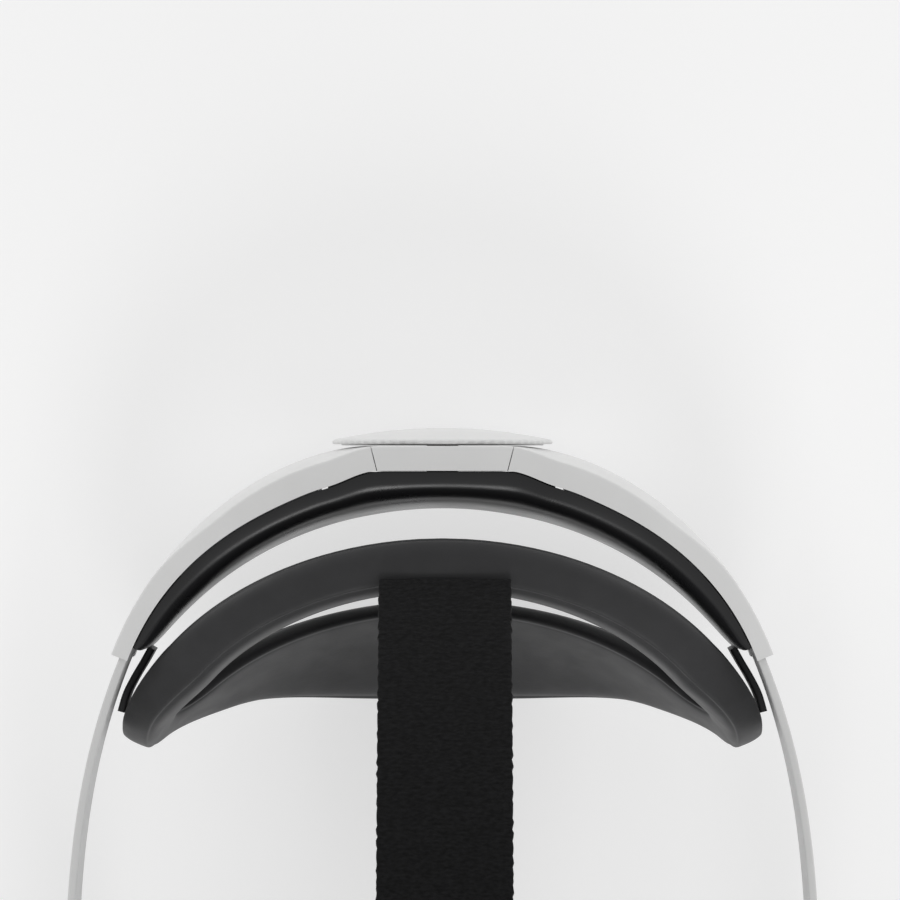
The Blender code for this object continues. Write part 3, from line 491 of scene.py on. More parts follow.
def loft(name, rings, loop=False):
    """Joins rings of equal length with quads, closed by end faces or into a loop."""
    bm = bmesh.new()
    rows = [[bm.verts.new(Vector(point) * MM) for point in ring] for ring in rings]
    pairs = list(zip(rows, rows[1:]))
    if loop:
        pairs.append((rows[-1], rows[0]))
    for first, second in pairs:
        for k in range(len(first)):
            after = (k + 1) % len(first)
            bm.faces.new((first[k], first[after], second[after], second[k]))
    if not loop:
        bm.faces.new(rows[0])
        bm.faces.new(rows[-1])
    bmesh.ops.recalc_face_normals(bm, faces=bm.faces)
    mesh = bpy.data.meshes.new(name)
    bm.to_mesh(mesh)
    bm.free()
    return new_object(name, mesh)


# Where an outline's two coordinates and its level go, by the axis it is drawn out along.
AXIS_ORDER = {"X": (2, 0, 1), "Y": (0, 2, 1), "Z": (0, 1, 2)}


def flat_ring_solid(name, outline, low, high, axis):
    """An outline drawn out from low to high along an axis."""
    order = AXIS_ORDER[axis]
    return loft(name, [[[(a, b, level)[k] for k in order] for a, b in outline] for level in (low, high)])


def modify(obj, kind, **values):
    modifier = obj.modifiers.new(kind.title(), kind)
    for name, value in values.items():
        setattr(modifier, name, value)
    return modifier


def bake(obj):
    """Turns an object's modifiers into its mesh."""
    graph = bpy.context.evaluated_depsgraph_get()
    mesh = bpy.data.meshes.new_from_object(obj.evaluated_get(graph))
    obj.modifiers.clear()
    obj.data = mesh
    return obj


def combine(obj, tools, operation="DIFFERENCE"):
    for tool in tools:
        modify(obj, "BOOLEAN", operation=operation, solver="EXACT", object=tool)
    bake(obj)
    for tool in tools:
        bpy.data.objects.remove(tool, do_unlink=True)
    return obj


def round_edges(obj, width, angle=40, segments=2):
    limit = {"limit_method": "ANGLE", "angle_limit": math.radians(angle)}
    modify(obj, "BEVEL", width=width * MM, segments=segments, harden_normals=False, **limit)
    return bake(obj)


def shade(obj, angle=35):
    for face in obj.data.polygons:
        face.use_smooth = True
    obj.data.set_sharp_from_angle(angle=math.radians(angle))
    return obj


def dress(obj, look, body=None, nodes=(), angle=35):
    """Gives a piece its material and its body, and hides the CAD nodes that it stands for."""
    obj.data.materials.clear()
    obj.data.materials.append(looks[look])
    shade(obj, angle)
    if body:
        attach(obj, body)
    if nodes:
        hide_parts(*nodes)
    return obj


def even_points(curve, count):
    """Spaces count points evenly along a closed curve given as a function of a turn from 0 to 1."""
    fine = [Vector(curve(k / 1440)) for k in range(1441)]
    travelled = [0.0]
    for before, after in zip(fine, fine[1:]):
        travelled.append(travelled[-1] + (after - before).length)
    points = []
    index = 0
    for k in range(count):
        goal = travelled[-1] * k / count
        while travelled[index + 1] < goal:
            index += 1
        share = (goal - travelled[index]) / (travelled[index + 1] - travelled[index])
        points.append(fine[index].lerp(fine[index + 1], share))
    return points


def rounded(points, radius, steps=4):
    """Rounds every corner of a closed polygon of 2D points with an arc of about that radius."""
    made = []
    count = len(points)
    for k in range(count):
        before, here, after = (Vector(points[(k + d) % count]) for d in (-1, 0, 1))
        to_before, to_after = before - here, after - here
        reach = min(radius, 0.45 * to_before.length, 0.45 * to_after.length)
        start = here + to_before.normalized() * reach
        end = here + to_after.normalized() * reach
        for step in range(steps + 1):
            share = step / steps
            made.append(start * (1 - share) ** 2 + here * (2 * share * (1 - share)) + end * share ** 2)
    return made


def circle(radius, centre=(0, 0), count=64):
    turns = [2 * math.pi * k / count for k in range(count)]
    return [(centre[0] + radius * math.cos(t), centre[1] + radius * math.sin(t)) for t in turns]


def stadium(radius, left, right, up, count=12):
    ends = []
    for centre, start in ((right, -90), (left, 90)):
        for k in range(count + 1):
            turn = math.radians(start + 180 * k / count)
            ends.append((centre + radius * math.cos(turn), up + radius * math.sin(turn)))
    return ends


def spun(name, profile, centre, ribs=0, rib_depth=0.0, rib_from=0, rib_to=0, count=192):
    """Turns (radius, y) points about an axis along Y; the rings from rib_from to rib_to carry grip ribs."""
    rings = []
    for k, (radius, y) in enumerate(profile):
        ring = []
        for step in range(count):
            turn = 2 * math.pi * step / count
            wave = rib_depth * (0.5 - 0.5 * math.cos(ribs * turn)) if rib_from <= k <= rib_to else 0.0
            reach = max(radius - wave, 0.02)
            ring.append((centre[0] + reach * math.cos(turn), y, centre[1] + reach * math.sin(turn)))
        rings.append(ring)
    return loft(name, rings)


# ---------------------------------------------------------------- rear housing and dial


def housing_plan(share):
    """The housing's outer line in plan, share -1 to 1: a flat middle, then a rounded quarter oval."""
    flat_share = 0.16
    reach = abs(share)
    if reach <= flat_share:
        return (HOUSING_FLAT * share / flat_share, HOUSING_CENTRE_Y + HOUSING_DEPTH)
    turn = (reach - flat_share) / (1 - flat_share) * math.pi / 2 * HOUSING_END_TURN
    across = HOUSING_FLAT + HOUSING_REACH * math.sin(turn) ** (2 / HOUSING_ROUNDNESS)
    depth = HOUSING_CENTRE_Y + HOUSING_DEPTH * math.cos(turn) ** (2 / HOUSING_ROUNDNESS)
    return (math.copysign(across, share), depth)


def housing_point(share, inset, z):
    """A point at a distance inside the outer line."""
    x, y = housing_plan(share)
    before, after = housing_plan(share - 0.01), housing_plan(share + 0.01)
    along = Vector((after[0] - before[0], after[1] - before[1])).normalized()
    return (x + along.y * inset, y - along.x * inset, z)


def top_lean(share):
    """How far in the top face starts: flush at the centre cap and at the ends, set in between them."""
    across = abs(housing_plan(share)[0])
    return TOP_LEAN * smooth((across - 13) / 14) * (1 - 0.85 * smooth((across - 50) / 14))


def cover_line(share):
    """How far in the top face ends, where the inner cover starts."""
    across = abs(housing_plan(share)[0])
    start = COVER_INSET + TOP_LEAN * smooth((across - 13) / 14)
    return start * (1 - HOUSING_SLIMMING * smooth((across - 34) / 40))


def cover_swell(share):
    """How far the inner cover swells towards the head: out to an oval lip, fading out at its rounded ends."""
    start = Vector(housing_point(share, cover_line(share), 0))
    inward = Vector(housing_point(share, cover_line(share) + 1, 0)) - start
    x, y = start.x / COVER_LIP_HALF, (start.y - HOUSING_CENTRE_Y) / COVER_LIP_DEPTH
    u, v = inward.x / COVER_LIP_HALF, inward.y / COVER_LIP_DEPTH
    a, b, c = u * u + v * v, x * u + y * v, x * x + y * y - 1
    reach = (-b - math.sqrt(b * b - a * c)) / a
    fade = math.sqrt(max(0.0, 1 - (abs(share) / COVER_REACH) ** 8))
    return COVER_WALL + (reach - COVER_WALL) * fade


def housing_heights(share):
    taper = smooth((abs(housing_plan(share)[0]) - 28) / 44)
    bottom = HOUSING_BOTTOM + (HOUSING_END_BOTTOM - HOUSING_BOTTOM) * taper
    return bottom, HOUSING_TOP - 1.5 * taper


def housing_shares(limit, count):
    return [limit * (2 * k / (count - 1) - 1) for k in range(count)]


def shell_section(share, wall):
    """The shell's section with a crisp top edge and a softly bellied outer wall, or the room inside it."""
    bottom, top = housing_heights(share)
    lean = top_lean(share)
    inner = cover_line(share) - GAP if wall == 0 else cover_line(share) + 4
    low, high = bottom + wall, top - wall
    outer_top = high - 1.4
    outer_low = low + 1.8
    points = [(inner, high)]
    steps = 12
    for k in range(steps + 1):
        share_down = k / steps
        belly = abs(2 * share_down - 1) ** 1.9
        points.append((lean * belly + wall + 0.4 * smooth((share_down - 0.9) / 0.1),
                       outer_top + (outer_low - outer_top) * share_down))
    points.append((inner, low))
    if wall:
        return [housing_point(share, inset, z) for inset, z in points]
    edged = rounded_some(points, {1: 0.55, steps + 1: 1.6})
    return [housing_point(share, inset, z) for inset, z in edged]


def rounded_some(points, radii, steps=4):
    """Rounds only the corners whose index is in radii."""
    made = []
    for k, here in enumerate(points):
        here = Vector(here)
        if k not in radii:
            made.append(here)
            continue
        before, after = Vector(points[k - 1]), Vector(points[(k + 1) % len(points)])
        reach_before = min(radii[k], 0.6 * (before - here).length)
        reach_after = min(radii[k], 0.6 * (after - here).length)
        start = here + (before - here).normalized() * reach_before
        end = here + (after - here).normalized() * reach_after
        for step in range(steps + 1):
            share = step / steps
            made.append(start * (1 - share) ** 2 + here * (2 * share * (1 - share)) + end * share ** 2)
    return made


def wedge(name, half_rear, half_front, low):
    """The seat of the centre cap, open at the top and narrower at its front."""
    outline = [(-half_rear, SEAT_REAR), (half_rear, SEAT_REAR),
               (half_front, SEAT_FRONT), (-half_front, SEAT_FRONT)]
    return flat_ring_solid(name, outline, low, HOUSING_TOP + 6, "Z")


def band_slot(side):
    rings = []
    for k in range(7):
        y = BAND_REAR - 12 + SLOT_RUN * k / 6
        ring = arm_section(side, y, BAND_THICKNESS + 1.2, BAND_BOTTOM - 0.6, ARM_TOP + 0.6, 0.3)
        rings.append([(x + side * 0.6, y_, z) for x, y_, z in ring])
    return loft("slot_tool", rings)


def make_housing():
    shell = loft("rear_shell_skin", [shell_section(s, 0) for s in housing_shares(1.0, 121)])
    room = loft("room_tool", [shell_section(s, HOUSING_WALL) for s in housing_shares(0.962, 81)])
    cap_floor = HOUSING_TOP - CAP_DEPTH
    bore = flat_ring_solid("bore_tool", circle(DIAL_SHAFT_RADIUS + EDGE, (0, DIAL_Z)), *DIAL_BORE, "Y")
    tools = [room, wedge("seat_tool", CAP_HALF_REAR, CAP_HALF_FRONT, cap_floor), bore]
    combine(shell, tools + [band_slot(side) for side in SIDES.values()])
    dress(shell, "white_shell", "rear_housing", ["rear_housing_shell"])

    cap = loft("centre_cap_skin", [shell_section(s, 0) for s in housing_shares(0.32, 61)])
    cap_halves = (CAP_HALF_REAR - CAP_CLEARANCE, CAP_HALF_FRONT - CAP_CLEARANCE)
    combine(cap, [wedge("cap_tool", *cap_halves, cap_floor + GAP)], "INTERSECT")
    dress(cap, "white_shell", "rear_housing", ["housing_centre_cap"])

    rings = []
    steps = 28
    for share in housing_shares(COVER_REACH, 161):
        bottom, top = housing_heights(share)
        middle, half = (bottom + top) / 2, (top - bottom) / 2 - 0.6
        start, swell = cover_line(share), cover_swell(share)
        outer, inner = [], []
        for k in range(steps + 1):
            turn = math.pi * k / steps
            reach = math.sin(turn) ** 0.55
            level = signed_power(math.cos(turn), 0.75)
            ridge = 0.04 * swell * math.exp(-(((k - steps / 2) / 1.1) ** 2))
            outer.append(housing_point(share, start + swell * reach + ridge, middle - half * level))
            deep, tall = (swell - COVER_WALL) * reach, (half - COVER_WALL) * level
            inner.append(housing_point(share, start + deep, middle - tall))
        rings.append(outer + inner[::-1])
    cover = loft("inner_cover_skin", rings)
    dress(cover, "satin_black", "rear_housing", ["housing_inner_cover"])


def make_dial():
    reach = DIAL_APEX_Y - DIAL_BASE_Y - 0.9
    dome = (DIAL_RADIUS ** 2 + reach ** 2) / (2 * reach)
    profile = [(0.0, DIAL_APEX_Y)]
    for k in range(1, 25):
        radius = (DIAL_RADIUS - 0.5) * k / 24
        groove = 0.22 * math.exp(-(((radius - 16.5) / 0.35) ** 2))
        profile.append((radius, DIAL_APEX_Y - dome + math.sqrt(dome ** 2 - radius ** 2) - groove))
    first_rib = len(profile) - 1
    rim, back = DIAL_RADIUS, DIAL_BASE_Y
    profile += [(rim - 0.1, back + 0.75), (rim, back + 0.4), (rim - 0.1, back + 0.1), (rim - 0.5, back),
                (rim - 2, back), (rim - 2.1, back - 0.28), (DIAL_SHAFT_RADIUS, back - 0.28),
                (DIAL_SHAFT_RADIUS, DIAL_SHAFT_END), (0.0, DIAL_SHAFT_END)]
    dial = spun("fit_dial_skin", profile, (0, DIAL_Z), 64, 0.35, first_rib, first_rib + 3, 384)
    dress(dial, "white_shell", "dial", ["fit_dial"], 28)


# ---------------------------------------------------------------- head cradle


def cradle_surface(turn, z):
    """The head side of the cradle: an oval in plan that tucks forward under the back of the head."""
    drop = max(0.0, CRADLE_TOP_Z - z)
    tuck = CRADLE_TUCK * drop ** 2 + CRADLE_LOWER_TUCK * drop ** 6
    half = CRADLE_HALF_WIDTH - 0.30 * tuck + CRADLE_FLARE * smooth((abs(turn) - 0.93) / 0.3)
    return Vector((half * math.sin(turn), CRADLE_CENTRE_Y + (CRADLE_DEPTH - tuck) * math.cos(turn), z))


def cradle_frame_at(angle, across):
    up = math.cos(angle)
    rise = CRADLE_RISE if up > 0 else CRADLE_DROP
    turn = CRADLE_TIP_TURN * signed_power(math.sin(angle), 0.85)
    z = CRADLE_TIP_Z + rise * up
    tip = abs(math.sin(angle)) ** 6
    turn_step = math.copysign(tip, math.sin(angle)) / CRADLE_HALF_WIDTH
    z_step = signed_power(up, 0.8)
    length = math.hypot(turn_step * CRADLE_HALF_WIDTH, z_step) or 1.0
    turn += turn_step / length * across
    z += z_step / length * across
    step = 0.01
    along = cradle_surface(turn + step, z) - cradle_surface(turn - step, z)
    rising = cradle_surface(turn, z + step) - cradle_surface(turn, z - step)
    return cradle_surface(turn, z), rising.cross(along).normalized()


def cradle_half_width(angle):
    middle = abs(math.cos(angle)) ** 1.5
    return CRADLE_TIP_HALF + (UPPER_BAND_SWELL if math.cos(angle) > 0 else LOWER_BAND_SWELL) * middle


def pad_depth(angle, across):
    """The pad's thickness: thinner at the tips, and along the lower band's upper edge."""
    thin = PAD_TIP_THINNING * smooth((abs(math.sin(angle)) - 0.75) / 0.25)
    edge = LOWER_EDGE_THINNING * math.sqrt(max(0.0, -math.cos(angle))) * (1 - across) / 2
    return PAD_THICKNESS * (1 - thin) * (1 - edge)


def cradle_ring(angle, shape):
    """A closed section, even about its middle.

    Each point has a share of half the width, a distance in from there, a share of the depth
    and a distance beyond it.
    """
    half = cradle_half_width(angle)
    ring = []
    for side, points in ((-1, shape), (1, shape[::-1])):
        for share, inward, deep, beyond in points:
            across = side * (share * half - inward)
            point, normal = cradle_frame_at(angle, across)
            ring.append(point + normal * (pad_depth(angle, across / half) * deep + beyond))
    return ring


def make_cradle():
    count = 176
    angles = [2 * math.pi * k / count for k in range(count)]
    back = GAP + CORE_THICKNESS
    behind = ((0.79, 0, 1.0, 0.1), (0.80, 0, 1.0, back - 0.9), (0.84, 0, 1.0, back - 0.35),
              (0.90, 0, 1.0, back - 0.3))
    edge = ((0.96, 0, 0.97, 0.7), (0.99, 0, 0.9, 0.0), (1.0, 0, 0.72, 0.0), (1.0, 0, 0.5, 0.0),
            (0.995, 0, 0.32, 0.0))
    seam = ((0.985, 0, 0.24, 0.0), (0.99, 0.5, 0.205, 0.0), (0.99, 0.9, 0.2, 0.0),
            (0.985, 1.15, 0.15, 0.0), (0.97, 1.4, 0.09, 0.0))
    face = ((0.90, 1.9, 0.02, 0.0), (0.72, 2.0, 0.0, -0.1), (0.45, 1.0, 0.0, -0.2), (0.15, 0, 0.0, -0.25))
    section = behind + edge + seam + face
    pad = loft("cradle_cushion", [cradle_ring(a, section) for a in angles], loop=True)
    modify(pad, "SUBSURF", levels=1, render_levels=1)
    bake(pad)
    dress(pad, "pad_skin", "rear_housing", ["cradle_pad"], 60)

    plate = ((0.77, 0, 1.0, GAP), (0.775, 0, 1.0, GAP + 0.5), (0.77, 0, 1.0, back - 0.35),
             (0.74, 0, 1.0, back - 0.05), (0.70, 0, 1.0, back), (0.35, 0, 1.0, back))
    core = loft("cradle_back_plate", [cradle_ring(a, plate) for a in angles], loop=True)
    dress(core, "matt_black", "rear_housing", ["cradle_core"], 50)

    for side_name, side in SIDES.items():
        path = smooth_route([Vector(p) for p in LINK_ROUTE], 6)
        rings = []
        for k, here in enumerate(path):
            along = (path[min(k + 1, len(path) - 1)] - path[max(k - 1, 0)]).normalized()
            outward = Vector((-along.y, along.x))
            pinch = 0.8 * math.sin(math.pi * k / (len(path) - 1))
            low, high = LINK_BOTTOM + pinch, LINK_TOP - pinch
            edged = rounded([(0.0, low), (0.0, high), (LINK_THICKNESS, high), (LINK_THICKNESS, low)], EDGE, 3)
            rings.append([(side * (here.x + outward.x * d), here.y + outward.y * d, z) for d, z in edged])
        link = loft("link_skin_" + side_name, rings)
        dress(link, "matt_black", "rear_housing", ["cradle_link_" + side_name])


def smooth_route(points, steps):
    """Extra points on a Catmull-Rom curve through a route."""
    made = []
    last = len(points) - 1
    for k in range(last):
        p0, p1, p2, p3 = points[max(k - 1, 0)], points[k], points[k + 1], points[min(k + 2, last)]
        for step in range(steps):
            t = step / steps
            made.append(0.5 * (2 * p1 + (p2 - p0) * t + (2 * p0 - 5 * p1 + 4 * p2 - p3) * t * t
                               + (3 * p1 - 3 * p2 + p3 - p0) * t ** 3))
    return made + [points[-1]]


# ---------------------------------------------------------------- side arms


def arm_x(y):
    """The outer face of a side arm: straight past the face, curling in towards the rear housing."""
    return ARM_OUTER - ARM_CURL * max(0.0, y - ARM_CURL_START) ** 3


def arm_section(side, y, thickness, low, high, radius=0.55):
    slope = (arm_x(y + 1) - arm_x(y - 1)) / 2
    scale = math.hypot(1, slope)
    corners = [(0.0, low), (0.0, high), (thickness, high), (thickness, low)]
    return [(side * (arm_x(y) - depth / scale), y + depth * slope / scale, z)
            for depth, z in rounded(corners, min(radius, thickness * 0.45), 4)]


def arm_shape(y):
    """Thickness, lower edge and upper edge of an arm at a place along it."""
    bulge = smooth((y - SPEAKER_FROM + 14) / 14) * smooth((SPEAKER_TO + 12 - y) / 12)
    nose = math.sqrt(max(0.0, 1 - max(0.0, (-85 - y) / 12.2) ** 2))
    thickness = 2.6 - 0.8 * smooth((y - 5) / 18) + 6.4 * bulge
    low = TEMPLE_Z - 10 * nose - 10 * bulge + (BAND_BOTTOM - 50) * smooth((y - 5) / 18)
    high = TEMPLE_Z + (ARM_TOP - TEMPLE_Z) * nose
    return thickness, low, high


def speaker_outline(margin):
    """The opening for a speaker as (y, z), drawn in by a margin."""
    front, rear = SPEAKER_FROM + 2 + margin, SPEAKER_TO - 2 - margin
    low, high = SPEAKER_LOW + margin, SPEAKER_HIGH - margin
    return rounded([(front, low), (rear, low), (rear, high), (front, high)], 3.0, 6)


def make_arms():
    for side_name, side in SIDES.items():
        stations = [-97 + 12 * (k / 12) ** 1.6 for k in range(13)]
        stations += [-85 + (BAND_FRONT - SEAM + 85) * k / 110 for k in range(1, 111)]
        rings = []
        for y in stations:
            thickness, low, high = arm_shape(y)
            rings.append(arm_section(side, y, thickness, low, high, 0.8))
        arm = loft("arm_skin_" + side_name, rings)
        inner = ARM_OUTER - SPEAKER_DEPTH
        pin_hole = circle(3.1, (TEMPLE_Y, TEMPLE_Z))
        pin_bore = flat_ring_solid("pin_tool", pin_hole, side * (ARM_OUTER - 6), side * (ARM_OUTER + 3), "X")
        pocket_ends = (side * (inner - 3), side * (ARM_OUTER - 1.6))
        pocket = flat_ring_solid("pocket_tool", speaker_outline(0), *pocket_ends, "X")
        combine(arm, [pin_bore, pocket])
        dress(arm, "white_arm", "side_arms", ["arm_" + side_name])

        cover_ends = (side * inner, side * (inner + 1.4))
        cover = flat_ring_solid("speaker_grille_" + side_name, speaker_outline(GAP), *cover_ends, "X")
        slots = []
        for k in range(GRILLE_SLOTS):
            middle = (SPEAKER_FROM + SPEAKER_TO) / 2 + (k - 5) * GRILLE_PITCH
            tall = 9.0 * math.sqrt(1 - ((k - 5) / 6.2) ** 2)
            outline = [(middle + across, 56 + up) for up, across in stadium(0.55, -tall, tall, 0, 6)]
            slots.append(flat_ring_solid("grille_tool", outline, side * (inner - 2), side * (inner + 3), "X"))
        combine(cover, slots)
        round_edges(cover, 0.2, 50)
        dress(cover, "matt_black", "side_arms", ["speaker_cover_" + side_name])

        cap = [(0.0, 0.0), (2.0, 0.0), (2.2, 0.35), (6.2, 0.35), (6.9, 0.2), (7.1, -0.2), (7.1, -0.5),
               (3.2, -0.5), (3.2, -0.9), (0.0, -0.9)]
        collar = spun("temple_cap_" + side_name, cap, (0, 0), count=96)
        collar.data.transform(Matrix.Translation(Vector((side * ARM_OUTER, TEMPLE_Y, TEMPLE_Z)) * MM)
                              @ Matrix.Rotation(math.radians(-90 * side), 4, "Z"))
        bpy.context.view_layer.update()
        dress(collar, "satin_black", "side_arms", ())

        count = 90
        rings = []
        for k in range(count + 1):
            y = BAND_FRONT + (BAND_REAR - BAND_FRONT) * k / count
            rings.append(arm_section(side, y, BAND_THICKNESS, BAND_BOTTOM, ARM_TOP, 0.5))
        band = loft("band_skin_" + side_name, rings)
        dress(band, "white_arm", None, ["arm_band_" + side_name])
        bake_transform(band)


# ---------------------------------------------------------------- top strap


def strap_height(y):
    end_y, end_z = STRAP_REAR if y > STRAP_TOP_Y else (STRAP_LOOP[0] + 4, STRAP_LOOP[1] - 4.4)
    share = (y - STRAP_TOP_Y) / (end_y - STRAP_TOP_Y)
    return STRAP_TOP_Z - (STRAP_TOP_Z - end_z) * share * share


def ragged(k, seed):
    """A small repeatable unevenness of the strap's edge, in millimetres."""
    waves = 0.10 * math.sin(k * 1.7 + seed) + 0.07 * math.sin(k * 3.9 + 2.1 * seed)
    return waves + 0.05 * math.sin(k * 8.3 + seed)


def strap_piece(name, route, half=STRAP_WIDTH / 2, thickness=STRAP_THICKNESS, lift=0.0):
    """Webbing with rounded selvedges along a route of (y, z) points on its lower face."""
    rings = []
    for k, point in enumerate(route):
        before, after = route[max(k - 1, 0)], route[min(k + 1, len(route) - 1)]
        along = (Vector(after) - Vector(before)).normalized()
        up = Vector((-along.y, along.x))
        left, right = half + ragged(k, 0.4), half + ragged(k, 2.9)
        flat = [(-left, 0.0), (-left, thickness), (-left * 0.5, thickness * 1.03), (0.0, thickness * 1.05),
                (right * 0.5, thickness * 1.03), (right, thickness), (right, 0.0)]
        edged = rounded_some(flat, {0: 0.5, 1: 0.6, 5: 0.6, 6: 0.5}, 3)
        ring = []
        for across, high in edged:
            offset = up * (high + lift)
            ring.append((across + STRAP_SHIFT, point[0] + offset.x, point[1] + offset.y))
        rings.append(ring)
    return loft(name, rings)


def cross_stitch_row(name, y, rise, half_width, pitch=2.6):
    """A row of stitches across the webbing at one place along it, at a rise above its arch."""
    bm = bmesh.new()
    slope = math.atan2(strap_height(y + 0.5) - strap_height(y - 0.5), 1.0)
    count = int(2 * half_width / pitch)
    for k in range(count):
        across = -half_width + pitch * (k + 0.5)
        up = Vector((0, -math.sin(slope), math.cos(slope)))
        centre = Vector((across, y, strap_height(y) + rise)) + up * 0.1
        size = Vector((1.8, 0.55, 0.4)) * MM
        tilt = Matrix.Rotation(slope, 3, "X").to_quaternion()
        bmesh.ops.create_cube(bm, size=1, matrix=Matrix.LocRotScale(centre * MM, tilt, size))
    mesh = bpy.data.meshes.new(name)
    bm.to_mesh(mesh)
    bm.free()
    obj = new_object(name, mesh)
    return round_edges(obj, 0.12, 40, 2)


def make_strap():
    count = 150
    first = STRAP_TOP_Y + SEAM / 2
    rear_y = [first + (STRAP_REAR[0] + 0.6 - first) * k / count for k in range(count + 1)]
    rear_route = [(y, strap_height(y)) for y in rear_y]
    rear = strap_piece("strap_rear_webbing", rear_route)
    dress(rear, "strap_nap", None, ["top_strap_rear"], 50)
    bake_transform(rear)

    loop_y, loop_z = STRAP_LOOP
    start = loop_y + 5.0
    lower = [STRAP_TOP_Y - SEAM / 2 + (start - STRAP_TOP_Y) * k / 90 for k in range(91)]
    route = [(y, strap_height(y)) for y in reversed(lower)]
    bend = 2.2 + STRAP_THICKNESS
    around = [math.radians(-70 - 200 * k / 16) for k in range(17)]
    turn = [(loop_y + bend * math.cos(a), loop_z + bend * math.sin(a)) for a in around]
    lift = STRAP_THICKNESS + 1.0
    upper = [start + (STRAP_TAIL_END - start) * k / 40 for k in range(41)]
    tail = [(y, strap_height(y) + lift + STRAP_THICKNESS) for y in upper]
    whole = tail[::-1] + turn[::-1] + route
    front = strap_piece("strap_front_webbing", whole)
    dress(front, "strap_nap", None, ["top_strap_front"], 50)
    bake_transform(front)

    upper_face = lift + STRAP_THICKNESS
    tab_route = [(y, z) for y, z in tail if y > STRAP_TAIL_END - 9.5][::-1]
    tab = strap_piece("strap_end_tab", tab_route, STRAP_WIDTH / 2 - 1.5, 0.8, 0.05)
    dress(tab, "matt_black", None, (), 50)
    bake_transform(tab)
    for k, y in enumerate((STRAP_TAIL_END - 11.5, STRAP_TAIL_END - 14.0)):
        row = cross_stitch_row(f"tail_stitches_{k + 1}", y, upper_face, STRAP_WIDTH / 2 - 2)
        dress(row, "thread", None, ())
        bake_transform(row)


# ---------------------------------------------------------------- visor


def visor_outline(inset=0.0, count=240):
    """The visor seen from the front as (x, z): a squared oval lifted over the nose."""

    def curve(turn):
        angle = 2 * math.pi * turn
        x = (VISOR_HALF_WIDTH - inset) * signed_power(math.cos(angle), 2 / VISOR_SQUARENESS)
        z = VISOR_MIDDLE + (VISOR_HALF_HEIGHT - inset) * signed_power(math.sin(angle), 2 / VISOR_SQUARENESS)
        lift = NOSE_LIFT * math.exp(-((x / NOSE_HALF) ** 2)) * max(0.0, -math.sin(angle))
        return (x, z + lift)

    return even_points(curve, count)


def front_depth(x, z):
    return VISOR_FRONT + x * x / (2 * FRONT_BOW_X) + (z - VISOR_MIDDLE) ** 2 / (2 * FRONT_BOW_Z)


def wall_profile(points, steps=4):
    """Rounds the profile of (inset, offset) points that a shell's wall follows."""
    ends = (points[0], points[-1])
    inner = rounded_some(points, {k: 1.2 for k in range(1, len(points) - 1)}, steps)
    return [Vector(ends[0]), *inner[1:-1], Vector(ends[1])]


def visor_ring(inset, back):
    """The visor's outline drawn in by inset, at a distance behind its bowed front."""
    return [(x, front_depth(x, z) + back, z) for x, z in visor_outline(inset)]


